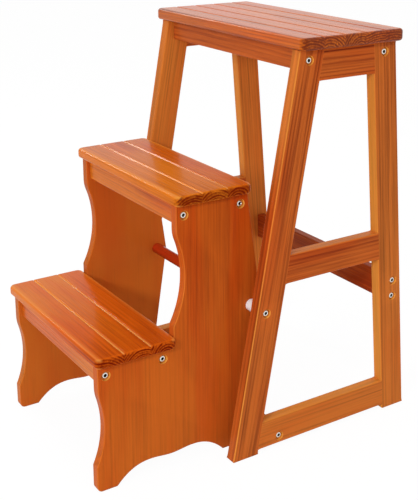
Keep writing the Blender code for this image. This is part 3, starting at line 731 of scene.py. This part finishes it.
def edge_offsets(outline):
    """Outward direction at each point of an outline that runs anticlockwise: the sum of its two
    sides' directions, made longer at corners, so that moving along it shifts both sides by the
    same amount."""
    ahead = np.roll(outline, -1, 0) - outline
    ahead /= np.linalg.norm(ahead, axis=1, keepdims=True)
    side = np.stack([ahead[:, 1], -ahead[:, 0]], -1)
    both = side + np.roll(side, 1, 0)
    return both * 2 / np.maximum((both ** 2).sum(1, keepdims=True), sharpest_corner)


def parabola(start, control, end, t):
    """A curve from start to end: their parts are the squares of what is left and of the way gone,
    and the control point's part is twice the two together."""
    return (1 - t) ** 2 * start + 2 * t * (1 - t) * control + t ** 2 * end


def eased_corners(outline, radius, eases, steps=4, turn=math.radians(25)):
    """The outline with each sharp corner replaced by a curve: a parabola that leaves one side at
    the radius before the corner and joins the other at the radius after it."""
    back = np.roll(outline, 1, 0) - outline
    ahead = np.roll(outline, -1, 0) - outline
    lengths = [np.linalg.norm(v, axis=1, keepdims=True) for v in (back, ahead)]
    cosine = (back * ahead).sum(1, keepdims=True) / (lengths[0] * lengths[1])
    reach = np.minimum(radius, most_of_a_side * np.minimum(*lengths)) * (cosine > -math.cos(turn))
    start, end = outline + back / lengths[0] * reach, outline + ahead / lengths[1] * reach
    t = np.linspace(0, 1, steps + 1)[None, :, None]
    curve = parabola(start[:, None], outline[:, None], end[:, None], t)
    curve, eases = curve.reshape(-1, 2), np.repeat(eases, steps + 1)
    kept = np.linalg.norm(curve - np.roll(curve, 1, 0), axis=1) > 1e-6
    return curve[kept], eases[kept]


def signed_area(points, faces):
    """Twice the area of flat triangles: the cross product of two of their sides."""
    first, second, third = (points[faces[:, k]] for k in range(3))
    a, b = second - first, third - first
    return a[:, 0] * b[:, 1] - a[:, 1] * b[:, 0]


def filled(loops):
    """Triangles that fill a flat outline and leave its holes open, all facing up."""
    flat = np.concatenate(loops)
    triangles = np.array(tessellate_polygon([[Vector((*p, 0)) for p in loop] for loop in loops]))
    turned = signed_area(flat, triangles) < 0
    triangles[turned] = triangles[turned][:, ::-1]
    return triangles


test_square = np.array([(0, 0), (1, 0), (1, 1), (0, 1)], float)
test_area = signed_area(test_square, filled([test_square])).sum() / 2
print("A square with eased corners has", len(eased_corners(test_square, 0.1, np.ones(4))[0]),
      "points, and a filled one an area of", test_area)

# %% Plates with recesses
recess_lip = 0.0005
# Four rings go over the lip of a recess, down its wall and to its bottom: how far out and how far
# down each is, in lips, the share of arris there, and the share of bore.
lip_reach, lip_drop = np.array([1.0, 0.3, 0.0, 0.0]), np.array([0.0, 0.3, 1.0])
lip_arris, lip_bore = (0.6, 1.0, 0.0, 0.0), (0.0, 0.6, 1.0, 1.0)


def plate(outline, eases, thickness, holes=(), steps=4, around=40):
    """Points and faces of a plate about its own middle, Z through it, and for each point its share
    of arris and of bore. Near each face the outline moves in by its ease times one minus the sine
    of an angle, and down by its ease times one minus the cosine. Holes are (place, radius, depth)
    in the upper face: four rings go over the lip and down the wall to the bottom."""
    outward = edge_offsets(outline)
    angle = np.linspace(0, math.pi / 2, steps + 1)[:, None]
    inset, drop = eases * (1 - np.sin(angle)), eases * (1 - np.cos(angle))
    inset = np.concatenate([inset, inset[::-1]])
    height = np.concatenate([drop - thickness / 2, (thickness / 2 - drop)[::-1]])
    rows = outline[None] - outward[None] * inset[..., None]
    points = [np.concatenate([rows, height[..., None]], -1).reshape(-1, 3)]
    index = np.arange(rows.shape[0] * rows.shape[1]).reshape(rows.shape[:2])
    faces = [ring_faces(index)]
    share = [np.repeat(np.sin(2 * np.concatenate([angle, angle[::-1]]).ravel()), len(outline))]
    bored = [np.zeros(index.size)]
    rims, rim_numbers, count = [rows[-1]], [index[-1]], index.size

    turn = np.linspace(0, 2 * math.pi, around, endpoint=False)
    circle = np.stack([np.cos(turn), np.sin(turn)], -1)
    for place, radius, depth in holes:
        flat = np.asarray(place) + circle * (radius + recess_lip * lip_reach)[:, None, None]
        level = np.append(recess_lip * lip_drop, depth)
        upright = np.broadcast_to((thickness / 2 - level)[:, None, None], (4, around, 1))
        number = count + np.arange(4 * around).reshape(4, around)
        points.append(np.concatenate([flat, upright], -1).reshape(-1, 3))
        faces += [ring_faces(number)[:, ::-1], number[-1:]]
        share.append(np.repeat(lip_arris, around))
        bored.append(np.repeat(lip_bore, around))
        rims.append(flat[0])
        rim_numbers.append(number[0])
        count += 4 * around
    faces.append(np.concatenate(rim_numbers)[filled(rims)])
    faces.append(index[0][filled([rows[0]])][:, ::-1])
    return np.concatenate(points), faces, np.concatenate(share), np.concatenate(bored)


print("A square plate with one recess has",
      len(plate(test_square, np.full(4, 0.01), 0.1, [((0.5, 0.5), 0.2, 0.05)])[0]), "points")

# %% [markdown]
# A used stool isn't evenly stained. The recesses were bored after staining, so their walls are
# bare. Faces that look up and forwards are painted lighter where light falls on them, and the
# outer front arrises get a painted highlight. The front edges are darker and redder, on the right
# front leg most of all lower down. Some pieces are painted darker towards the top, as shade, and
# lighter towards the top and the foot, as light, most of all on the left side, which stands more
# in shade.

# %% Pieces of the two sides
recess_radius, recess_depth = 0.007, 0.006
# How bare a recess's wall is, and how much of the front edge's red reaches its inner arris.
bored_bare = 0.8
inner_red = 0.5


def side_piece(node, finish, slot, outline, eases, grain, number, bolts=(), tone=0.0, shade_to_top=0.0,
               bare=0.0, lift_at_top_and_foot=(0.0, 0.0), front=((0.0, 0.0, 0.0, 0.0, 0.0),)):
    """A plate in one of the stool's two sides. The outline's two directions are depth and height, and
    the recesses of its bolts are in the face that looks away from the stool. The first tone darkens
    the whole piece, and the second more of it the higher it is, as painted shade. The next share is
    painted light on faces that look up and forwards, and the pair after it lightens the piece at the
    top and at the foot, as painted light. Front is for the edge that looks forwards: rows of (share of
    the height, tone, share of pale colour, red, painted highlight on its outer arris)."""
    low, high = corners_of(node)
    side, word = (1, "_right") if low[0] + high[0] > 0 else (-1, "_left")
    holes = [(sum(corners_of(bolt + word))[1:] / 2, recess_radius, recess_depth) for bolt in bolts]
    points, faces, rounding, bored = plate(outline, eases, high[0] - low[0], holes)
    directions = corner_normals(points, faces)
    grain = np.array(grain) / np.linalg.norm(grain)
    turn = np.stack([grain, [-grain[1], grain[0]]], -1)
    middle = (outline.min(0) + outline.max(0)) / 2
    wood = np.column_stack([(points[:, :2] - middle) @ turn, points[:, 2]])
    layers = wood_layers(wood, number, rift_sawn,
                         np.column_stack([directions[:, :2] @ turn, directions[:, 2]]), rounding)

    rise = (points[:, 1] - outline[:, 1].min()) / (outline[:, 1].max() - outline[:, 1].min())
    inner = 0.5 - points[:, 2] / (high[0] - low[0])
    # Ahead is 1 on the front edge, and arris 1 half way round from it to the outer face.
    ahead = np.clip(-directions[:, 0], 0, 1) ** 2
    arris = 4 * ahead * np.clip(directions[:, 2], 0, 1) ** 2
    heights, *columns = np.array(front).T
    # The last column is a painted highlight on the outer front arris.
    front_tone, front_bare, front_red, arris_highlight = (np.interp(rise, heights, column) for column in columns)
    # Painted shade darkens the piece towards its top, and the front edge gets a darker tone.
    layers["tone"] += tone + shade_to_top * rise + front_tone * ahead * (1 - arris)
    layers["red"] = front_red * ahead * (1 - (1 - inner_red) * inner) * (1 - arris)
    # Painted light on faces that look up and forwards and towards the top and the foot, the front edge's
    # pale share, and a painted highlight on its outer arris.
    lightening = bare * np.clip(directions[:, 1] - directions[:, 0], 0, 1) ** 2
    lightening += lift_at_top_and_foot[0] * rise + lift_at_top_and_foot[1] * (1 - rise) + front_bare * ahead + arris_highlight * arris
    layers["bare"] = np.maximum(lightening, bored_bare * bored)
    world = np.column_stack([(low[0] + high[0]) / 2 + side * points[:, 2], points[:, :2]])
    faces = faces if side > 0 else [group[:, ::-1] for group in faces]
    stand_for(make_piece(node + "_wood", world, faces, finish, layers), node)
    return len(points)


# %% [markdown]
# A leg is a long parallelogram, with its ends cut level with the floor. Its arris is 2 mm along
# its length and nearly sharp at the ends, and fades from one to the other over a few
# millimetres, as a router leaves it.

# %% The outline of a leg or a rail
leg_arris = 0.002
end_arris = 0.0003
# Where the arris fades in from an end, its share of the full one at the first of these places,
# and how many points between them carry the stain and the painted light.
arris_fade = np.array([0.0025, 0.0060])
fading_arris = 0.6
stain_and_light_points = 9
bar_corner = 0.0012


def bar_outline(corners):
    """The outline and the arris of a bar from four corners, anticlockwise, from one end's first
    corner. Points near the ends of the long sides let the arris fade there, and points along them
    carry the stain and the painted light."""
    corners = np.array(corners, float)
    outline, eases = [], []
    for k in range(4):
        start, end = corners[k], corners[(k + 1) % 4]
        if k % 2 == 0:
            shares, ease = np.array([0.0, 0.5]), [end_arris, end_arris]
        else:
            fade = arris_fade / np.linalg.norm(end - start)
            along = np.linspace(0.1, 0.9, stain_and_light_points)
            shares = np.concatenate([[0.0], fade, along, 1 - fade[::-1]])
            fading = [fading_arris * leg_arris]
            ease = [end_arris] + fading + (stain_and_light_points + 2) * [leg_arris] + fading
        outline.append(start + (end - start) * shares[:, None])
        eases += ease
    return eased_corners(np.concatenate(outline), bar_corner, np.array(eases))


test_bar = bar_outline([(0, 0), (0.02, 0), (0.02, 0.5), (0, 0.5)])
print("A bar's outline has", len(test_bar[0]), "points")

# %% [markdown]
# The front legs lean back by ten degrees and the rear legs forwards by five, and both keep their
# width, so an edge's depth is a straight function of the height. The rails run from one leg to
# the other, and lap on them a little so that no gap shows.

# %% Where the legs lean
leg_width = 0.045
front_rake, rear_rake = math.radians(10.2), math.radians(4.7)
rail_lap = 0.0015
front_low, front_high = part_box("front_leg_right")
rear_foot_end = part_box("rear_leg_right")[1].y
front_run, rear_run = leg_width / math.cos(front_rake), leg_width / math.cos(rear_rake)
front_slope, rear_slope = math.tan(front_rake), math.tan(rear_rake)
leg_top = front_high.z


def front_edge(height, run=0.0):
    """Depth of the front legs' front edge at a height, or of their rear edge with a run."""
    return front_low.y + height * front_slope + run


def rear_edge(height, run=0.0):
    """Depth of the rear legs' rear edge at a height, or of their front edge with a run."""
    return rear_foot_end - height * rear_slope - run


front_leg = [(front_edge(0), 0), (front_edge(0, front_run), 0),
             (front_edge(leg_top, front_run), leg_top), (front_edge(leg_top), leg_top)]
rear_leg = [(rear_edge(0, rear_run), 0), (rear_edge(0), 0),
            (rear_edge(leg_top), leg_top), (rear_edge(leg_top, rear_run), leg_top)]
print("The legs are", round(1000 * leg_top), "mm high and stand over",
      round(1000 * (rear_edge(0) - front_edge(0))), "mm of floor")

# %% Legs and rails
# The stain and the painted light on the left and on the right leg, as side_piece describes it. The
# left leg's lighter tone and larger lift are painted light on a leg that stands more in shade.
front_stain_and_light = (
    dict(tone=-0.12, lift_at_top_and_foot=(0.26, 0.22), front=((0.0, 0.30, 0.0, 1.0, 0.0),)),
    dict(tone=-0.05, shade_to_top=0.15, lift_at_top_and_foot=(0.0, 0.06),
         front=((0.0, 0.15, 0.05, 0.90, 0.55), (0.64, 0.20, 0.0, 1.0, 0.35),
                (0.75, -0.15, 0.16, 0.35, 0.32), (1.0, -0.15, 0.18, 0.20, 0.35))),
)
# The left rear leg's lighter tone and larger lift are painted light on a leg that stands more in shade,
# and both rear legs are painted lighter on faces that look up and forwards.
rear_stain_and_light = (dict(tone=-0.05, bare=0.30, lift_at_top_and_foot=(0.15, 0.22)),
             dict(shade_to_top=0.20, bare=0.46, lift_at_top_and_foot=(0.05, 0.20)))
# Rail, number of its board, bolts, and its painted light: lighter on faces that look up and
# forwards, and the bottom rail lighter all over.
rails = (("top_rail_", 52, (), dict(bare=0.30)), ("middle_rail_", 54, (), dict(bare=0.30)),
         ("bottom_rail_", 56, ("bar_bolt",), dict(bare=0.30, lift_at_top_and_foot=(0.16, 0.16))))
total = 0
for order, word in enumerate(("left", "right")):
    bars = [
        ("front_leg_", 41, ("top_bolt_front", "pivot_bolt"), front_stain_and_light[order],
         front_leg, (front_slope, 1)),
        ("rear_leg_", 46, ("top_bolt_rear", "cross_bolt_upper", "cross_bolt_lower"), rear_stain_and_light[order],
         rear_leg, (-rear_slope, 1)),
    ]
    for rail, number, bolts, stain_and_light in rails:
        low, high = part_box(rail + word)
        ends = [(rear_edge(z, rear_run) + rail_lap, z) for z in (low.z, high.z)]
        ends += [(front_edge(z, front_run) - rail_lap, z) for z in (high.z, low.z)]
        bars.append((rail, number, bolts, stain_and_light, ends, (1, 0)))
    for bar, number, bolts, stain_and_light, corners, grain in bars:
        total += side_piece(bar + word, frame_pine, "frame_wood", *bar_outline(corners), grain,
                            number + order, bolts, **stain_and_light)
print("Legs and rails have", total, "points")

# %% [markdown]
# ## The side boards
#
# Each side board of the lower unit is one sawn shape: two feet with a scalloped arch between
# them, a hollow curve in front under each step, and a straight slanting back that meets the
# pivot in a knee. The hollows are circular arcs, and the arch is two lobes that fall to the
# feet by a power of the way out, so that they start level and end steep.

# %% Arcs for the hollows and the knee
def bulge(start, end, sagitta, steps=22):
    """Points of a circular arc from start to end that stands off its chord by the sagitta, to the
    right of the way. Its radius is half the chord squared plus the sagitta squared, over twice the
    sagitta."""
    start, end = np.array(start), np.array(end)
    half = np.linalg.norm(end - start) / 2
    radius = (half ** 2 + sagitta ** 2) / (2 * sagitta)
    along = (end - start) / (2 * half)
    right = np.array([along[1], -along[0]])
    angle = math.asin(half / radius) * np.linspace(-1, 1, steps + 1)[:, None]
    centre = (start + end) / 2 + right * (sagitta - radius)
    return centre + right * radius * np.cos(angle) + along * radius * np.sin(angle)


def rounded(before, corner, after, radius, steps=10):
    """Points that round one corner with an arc: from the two places where a circle of the radius
    touches the sides, the angle goes evenly from one to the other."""
    before, corner, after = (np.array(p, float) for p in (before, corner, after))
    back = (before - corner) / np.linalg.norm(before - corner)
    ahead = (after - corner) / np.linalg.norm(after - corner)
    half = math.acos(np.clip(back @ ahead, -1, 1)) / 2
    centre = corner + (back + ahead) / np.linalg.norm(back + ahead) * radius / math.sin(half)
    first = corner + back * radius / math.tan(half) - centre
    last = corner + ahead * radius / math.tan(half) - centre
    turn = math.atan2(first[0] * last[1] - first[1] * last[0], first @ last)
    angle = turn * np.linspace(0, 1, steps + 1)[:, None]
    return centre + first * np.cos(angle) + np.array([-first[1], first[0]]) * np.sin(angle)


print("An arc over 1 m that stands off 0.1 m has its middle at", bulge((0, 0), (1, 0), 0.1)[11].round(3))

# %% The arch, and softer ends for the hollows
arch_height, arch_dip, lobe_reach, shoulder_power = 0.026, 0.003, 0.036, 2.3


def arch(front, rear, steps=26):
    """The scalloped arch, from the rear foot to the front one. Out to the lobes its height is the
    arch's less a cosine dip in the middle, and beyond them it falls with a power of the share of
    the way."""
    middle, half = (front + rear) / 2, (rear - front) / 2
    offset = half * np.sin(np.linspace(1, -1, 2 * steps + 1) * math.pi / 2)
    beyond = np.clip((np.abs(offset) - lobe_reach) / (half - lobe_reach), 0, 1)
    dip = arch_dip * (1 + np.cos(math.pi * np.minimum(np.abs(offset) / lobe_reach, 1))) / 2
    return np.column_stack([middle + offset, arch_height * (1 - beyond ** shoulder_power) - dip])


def softened(outline, corner, reach, steps=8):
    """The outline with a parabola in place of what lies within the reach of a corner: it leaves one
    side and joins the other at that distance, and its control point is the corner."""
    corner = np.array(corner)
    near = np.flatnonzero(np.linalg.norm(outline - corner, axis=1) < reach)
    before, after = outline[near[0] - 1] - corner, outline[near[-1] + 1] - corner
    start, end = (corner + side * reach / np.linalg.norm(side) for side in (before, after))
    curve = parabola(start, corner, end, np.linspace(0, 1, steps + 1)[:, None])
    return np.concatenate([outline[:near[0]], curve, outline[near[-1] + 1:]])


print("The arch is", round(1000 * arch(0.0, 0.15)[:, 1].max(), 1), "mm high")

# %% [markdown]
# The outline follows the treads and the pivot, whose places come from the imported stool. Its
# front edges stand a little behind the treads' front, and its back is as far behind the pivot as
# the knee needs to hold the dowel.

# %% The outline of a side board
joint_gap = 0.0003
foot_corner_radius, foot_knee = 0.008, 0.040
front_foot, rear_foot, foot_rear = 0.032, 0.034, 0.0155
# How far the upper end of each hollow is under its tread's top, and how deep the hollow is.
lower_cove, upper_cove = (0.062, 0.011), (0.062, 0.016)
upper_cove_rise, cove_reach = 0.014, 0.010
board_setback, top_rear_setback = 0.0055, 0.0065
knee_rear, knee_drop, knee_radius = 0.020, 0.0035, 0.010
board_arris, board_corner = 0.0015, 0.0015

pivot_y, pivot_z = frame["joints"][0]["pos_m"][1:]
board_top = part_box("side_board_right")[1].z
lower_low, lower_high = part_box("lower_tread")
middle_low, middle_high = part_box("middle_tread")


def side_board_outline():
    """The whole outline, anticlockwise in depth and height, from the front foot's rear corner."""
    lower_front, upper_front = lower_low.y + board_setback, middle_low.y + board_setback
    lower_top = lower_low.z - joint_gap
    foot_end = pivot_y - foot_rear
    arch_front, arch_rear = lower_low.y + front_foot, foot_end - rear_foot
    lower_end = (lower_front, lower_high.z - lower_cove[0])
    upper_start = (lower_high.y + joint_gap, lower_high.z + upper_cove_rise)
    upper_end = (upper_front, middle_high.z - upper_cove[0])
    knee = (pivot_y + knee_rear, pivot_z - knee_drop)
    top_rear = (pivot_y - top_rear_setback, board_top)
    clockwise = [
        rounded((arch_front, 0), (lower_low.y, 0), (lower_low.y, foot_knee), foot_corner_radius),
        bulge((lower_low.y, foot_knee), lower_end, lower_cove[1]),
        [(lower_front, lower_top), (lower_high.y + joint_gap, lower_top)],
        bulge(upper_start, upper_end, upper_cove[1]),
        [(upper_front, board_top), top_rear],
        rounded(top_rear, knee, (foot_end, 0), knee_radius),
        [(foot_end, 0)],
        arch(arch_front, arch_rear),
    ]
    outline = np.concatenate([np.array(part) for part in clockwise])
    return softened(softened(outline, upper_end, cove_reach), lower_end, cove_reach)[::-1]


raw_outline = side_board_outline()
board_outline = eased_corners(raw_outline, board_corner, np.full(len(raw_outline), board_arris))
print("The side board's outline has", len(board_outline[0]), "points")

# %% Both side boards
board_number = 70
board_bolts = ("middle_bolt_front", "middle_bolt_rear", "lower_bolt_front", "lower_bolt_rear")
# The left board's lighter tone and larger lift are painted light on a board that stands in shade, and the
# right board is painted darker towards the top, as shade. Both are painted lighter on faces that look up
# and forwards.
board_stain_and_light = (
    dict(tone=-0.30, bare=0.05, lift_at_top_and_foot=(0.10, 0.18),
         front=((0.0, 0.30, 0.0, 0.70, 0.0), (0.3, 0.65, 0.0, 1.0, 0.0))),
    dict(tone=-0.05, shade_to_top=0.25, bare=0.05, lift_at_top_and_foot=(0.0, 0.10),
         front=((0.0, 0.25, 0.0, 0.40, 0.05), (0.3, 0.15, 0.0, 0.75, 0.06),
                (0.5, -0.10, 0.03, 0.90, 0.18), (1.0, -0.10, 0.05, 0.70, 0.12))),
)
total = 0
for order, word in enumerate(("left", "right")):
    total += side_piece("side_board_" + word, board_pine, "board_wood", *board_outline, (0, 1),
                        board_number + order, board_bolts, **board_stain_and_light[order])
print("Both side boards have", total, "points")

# %% [markdown]
# ## Turned pieces
#
# The pivot dowel, the nylon spacers and the bolts are round. A profile is a list of rings, each
# with a radius and a place along the axis. The bolts' hexagon socket needs no cutting either: a
# ring may be part circle and part hexagon, so the rings go from round at the rim of the head to
# six-sided in the socket.

# %% Rings about an axis
def rings(profile, around, closed=False):
    """Points and faces of rings about X. A ring is (radius, place, hexagon share), and a hexagon's
    distance at an angle is its radius times cos 30 over cos of the angle from a side's middle."""
    radius, place, hexagon = (np.array(column)[:, None] for column in zip(*profile))
    turn = np.linspace(0, 2 * math.pi, around, endpoint=False)
    sixth = math.pi / 3
    flat = math.cos(sixth / 2) / np.cos((turn % sixth) - sixth / 2)
    reach = radius * (1 + hexagon * (flat - 1))
    place = np.broadcast_to(place, reach.shape)
    points = np.stack([place, reach * np.cos(turn), reach * np.sin(turn)], -1)
    index = np.arange(reach.size).reshape(reach.shape)
    if closed:
        faces = [ring_faces(np.concatenate([index, index[:1]]))]
    else:
        faces = [ring_faces(index), index[:1, ::-1], index[-1:]]
    return points.reshape(-1, 3), faces


def rounded_end(radius, place, ease, direction, steps=4):
    """Rings that round the rim of a cylinder's end, from the flat end to its side."""
    angle = np.linspace(0, math.pi / 2, steps + 1)
    return [(radius - ease * (1 - math.sin(a)), place - direction * ease * (1 - math.cos(a)), 0.0)
            for a in angle]


def round_bar(radius, half, ease):
    """The rings of a cylinder with rounded rims, from one end to the other."""
    return rounded_end(radius, -half, ease, -1) + rounded_end(radius, half, ease, 1)[::-1]


print("A round bar has", len(rings(round_bar(0.01, 0.05, 0.001), 24)[0]), "points")

# %% [markdown]
# The dowel is painted lighter on top and darker underneath, as painted shade from light above.

# %% The dowel and the spacers
dowel_rim, spacer_rim = 0.0006, 0.0008
dowel_sides, spacer_sides = 64, 48
dowel_number = 90
painted_light_from_above = 0.7
# The bore of the nylon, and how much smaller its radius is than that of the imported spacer.
spacer_bore, spacer_ease = 0.0033, 0.0018

low, high = corners_of("pivot_dowel")
half, _, dowel_radius = (high - low) / 2
points, faces = rings(round_bar(dowel_radius, half, dowel_rim), dowel_sides)
layers = wood_layers(points, dowel_number, flat_sawn, corner_normals(points, faces), np.zeros(len(points)))
# Painted shade: lighter on top of the dowel and darker underneath.
layers["tone"] -= painted_light_from_above * points[:, 2] / dowel_radius
dowel = make_piece("pivot_dowel_wood", points + (low + high) / 2, faces, dowel_pine, layers)
stand_for(dowel, "pivot_dowel")

for word in ("left", "right"):
    low, high = corners_of("pivot_spacer_" + word)
    half, radius = (high[0] - low[0]) / 2, (high[2] - low[2]) / 2 - spacer_ease
    profile = round_bar(radius, half, spacer_rim) + [(spacer_bore, half, 0.0), (spacer_bore, -half, 0.0)]
    points, faces = rings(profile, spacer_sides, closed=True)
    spacer = make_piece("pivot_spacer_" + word + "_nylon", points + (low + high) / 2, faces, spacer_white)
    stand_for(spacer, "pivot_spacer_" + word)
print("Turned the dowel and two spacers of", round(2000 * radius, 1), "mm")

# %% [markdown]
# A bolt's rings start at the floor of its socket, go up its six walls, out over the face of the
# head and down its side, and then along the shank. The socket is darkened with painted shade,
# fully from a third of the way down.

# %% The bolts with their hexagon sockets
bolt_sides = 48
head_radius, head_height, shank_radius = 0.0048, 0.004, 0.003
socket_radius, socket_depth = 0.0027, 0.0030
shank_chamfer = 0.0004
socket_shade_slope, socket_edge = 3.0, 1.05
# The rings of the head: radius, place along the axis, hexagon share.
head_profile = [
    (0.3 * socket_radius, -socket_depth, 1.0), (0.97 * socket_radius, -socket_depth, 1.0),
    (socket_radius, -0.94 * socket_depth, 1.0), (socket_radius, -0.00025, 1.0),
    (1.06 * socket_radius, 0.0, 0.6), (1.2 * socket_radius, 0.0, 0.0),
    (head_radius - 0.0014, 0.0, 0.0), (head_radius - 0.0007, -0.0002, 0.0),
    (head_radius - 0.0002, -0.0007, 0.0), (head_radius, -0.0014, 0.0),
    (head_radius, 0.0002 - head_height, 0.0), (head_radius - 0.0002, -head_height, 0.0),
]
bolts = sorted(node for node in frame["nodes"] if "_bolt_" in node)
for node in bolts:
    low, high = corners_of(node)
    side, head_end = (1, high[0]) if node.endswith("right") else (-1, low[0])
    length = high[0] - low[0]
    shank = [(shank_radius, -head_height, 0.0), (shank_radius, shank_chamfer - length, 0.0),
             (shank_radius - shank_chamfer, -length, 0.0)]
    points, faces = rings(head_profile + shank, bolt_sides)
    in_socket = np.hypot(points[:, 1], points[:, 2]) < socket_edge * socket_radius
    # Painted shade in the socket, full from a third of the way down.
    dust = np.clip(-socket_shade_slope * points[:, 0] / socket_depth, 0, 1) * in_socket
    points = points * (side, 1, 1) + [head_end, *(low + high)[1:] / 2]
    faces = [group[:, ::-1] for group in faces] if side > 0 else faces
    stand_for(make_piece(node + "_plated", points, faces, bolt_plate, {"dust": dust}), node)
print("Turned", len(bolts), "bolts")

# %% [markdown]
# ## The pieces that stay as they are
#
# The boards across the stool are straight, with small arrises and bores for the nuts, and the
# imported solids show them well. They only get their finish. Their material reads Object
# coordinates, and its Mapping node moves the trunk's middle to another place for each board.

# %% Finishes of the boards across, the nuts and the screws
# Look, number of the board, how much darker it is than its look; for the rear cross rail and the
# top apron's front, which stand in shade, that is painted shade.
across_boards = {
    "top_apron_front": (apron_look, 101, 0.24), "top_apron_rear": (apron_look, 102, 0.10),
    "rear_cross_rail": (apron_look, 103, 0.48), "lower_cross_bar": (apron_look, 104, 0.20),
    "middle_apron_front": (riser_look, 105, 0.0), "middle_apron_rear": (riser_look, 106, 0.2),
    "lower_apron_front": (riser_look, 107, 0.0), "lower_apron_rear": (riser_look, 108, 0.2),
}


def refinish(node, finish):
    """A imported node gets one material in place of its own."""
    frame["nodes"][node].data.materials.clear()
    frame["nodes"][node].data.materials.append(finish)


for node, (look, number, darker) in across_boards.items():
    low, high = corners_of(node)
    along, across, through, tone = sawn_from(number, rift_sawn)
    place = np.array([along, through, across]) - (low + high) / 2
    refinish(node, pine(node + "_pine", node_place=tuple(place), node_tone=float(tone) + darker, **look))
small_metal = [node for node in frame["nodes"] if "_nut_" in node or "_screw_" in node]
for node in small_metal:
    refinish(node, nut_plate)
print("Finished", len(across_boards), "boards across and", len(small_metal), "small metal pieces")

# %% [markdown]
# ## Floor, room and light
#
# The photograph has a plain white ground. More light would bleach the wood, so the light stays
# at a plain level, and the floor and the room are simply white wherever the camera, a
# reflection or glass looks at them. The floor still darkens where the stool keeps light off it.

# %% White where it is seen
white = (1, 1, 1, 1)


def white_where_seen(tree, plain, bright, share, end):
    """The plain shader, with the bright one mixed in by a share for camera, glossy and transmission
    rays, goes to the tree's end node."""
    rays = tree.nodes.new('ShaderNodeLightPath')
    seen = sums(tree, 'MAXIMUM', rays.outputs['Is Camera Ray'],
                sums(tree, 'MAXIMUM', rays.outputs['Is Glossy Ray'], rays.outputs['Is Transmission Ray']))
    mix = tree.nodes.new('ShaderNodeMixShader')
    tree.links.new(sums(tree, 'MULTIPLY', seen, share), mix.inputs[0])
    tree.links.new(plain.outputs[0], mix.inputs[1])
    tree.links.new(bright.outputs[0], mix.inputs[2])
    tree.links.new(mix.outputs[0], tree.nodes[end].inputs['Surface'])


def white_light(tree, kind, strength):
    """An Emission or Background node of plain white."""
    node = tree.nodes.new(kind)
    node.inputs['Color'].default_value = white
    node.inputs['Strength'].default_value = strength
    return node


# %% The floor
floor_reach = 6.0
floor_grey = 0.9
floor_white, floor_white_share = 1.02, 0.94

floor_mesh = bpy.data.meshes.new("studio_floor")
floor_corners = [(-floor_reach, -floor_reach, 0), (floor_reach, -floor_reach, 0),
                 (floor_reach, floor_reach, 0), (-floor_reach, floor_reach, 0)]
floor_mesh.from_pydata(floor_corners, [], [(0, 1, 2, 3)])
floor = put_in_scene("studio_floor", floor_mesh)
floor_material, tree, shader = plain_shader("studio_floor", (floor_grey, floor_grey, floor_grey))
shader.inputs['Base Color'].default_value = (floor_grey, floor_grey, floor_grey, 1)
shader.inputs['Roughness'].default_value = 0.9
shader.inputs['Specular IOR Level'].default_value = 0.0
glow = white_light(tree, 'ShaderNodeEmission', floor_white)
white_where_seen(tree, shader, glow, floor_white_share, "Material Output")
floor_mesh.materials.append(floor_material)
print("The floor is", 2 * floor_reach, "m wide")

# %% The room
room_light = 0.57
world = bpy.data.worlds.new("studio_room")
bpy.context.scene.world = world
world.use_nodes = True
room = world.node_tree.nodes["Background"]
room.inputs['Color'].default_value = white
room.inputs['Strength'].default_value = room_light
bright = white_light(world.node_tree, 'ShaderNodeBackground', 1.0)
white_where_seen(world.node_tree, room, bright, 1.0, "World Output")
print("The room's light has a strength of", room_light)

# %% Four soft lamps
lamp_aim = Vector((0, 0, 0.3))
# Place, size and power of each lamp.
lamps = {
    "key_lamp": ((1.5, -2.6, 1.6), 0.4, 35.0),
    "left_lamp": ((-2.5, -0.6, 2.0), 0.5, 12.0),
    "rear_lamp": ((1.5, 2.6, 1.1), 0.9, 4.0),
    "top_lamp": ((0.3, -0.4, 3.2), 1.6, 18.0),
}
for name, (place, size, power) in lamps.items():
    data = bpy.data.lights.new(name, 'AREA')
    data.energy = power
    data.size = size
    lamp = put_in_scene(name, data)
    lamp.location = place
    lamp.rotation_euler = (lamp_aim - Vector(place)).to_track_quat('-Z', 'Y').to_euler()
bpy.context.scene.view_settings.view_transform = 'Standard'
print("Set", len(lamps), "lamps")
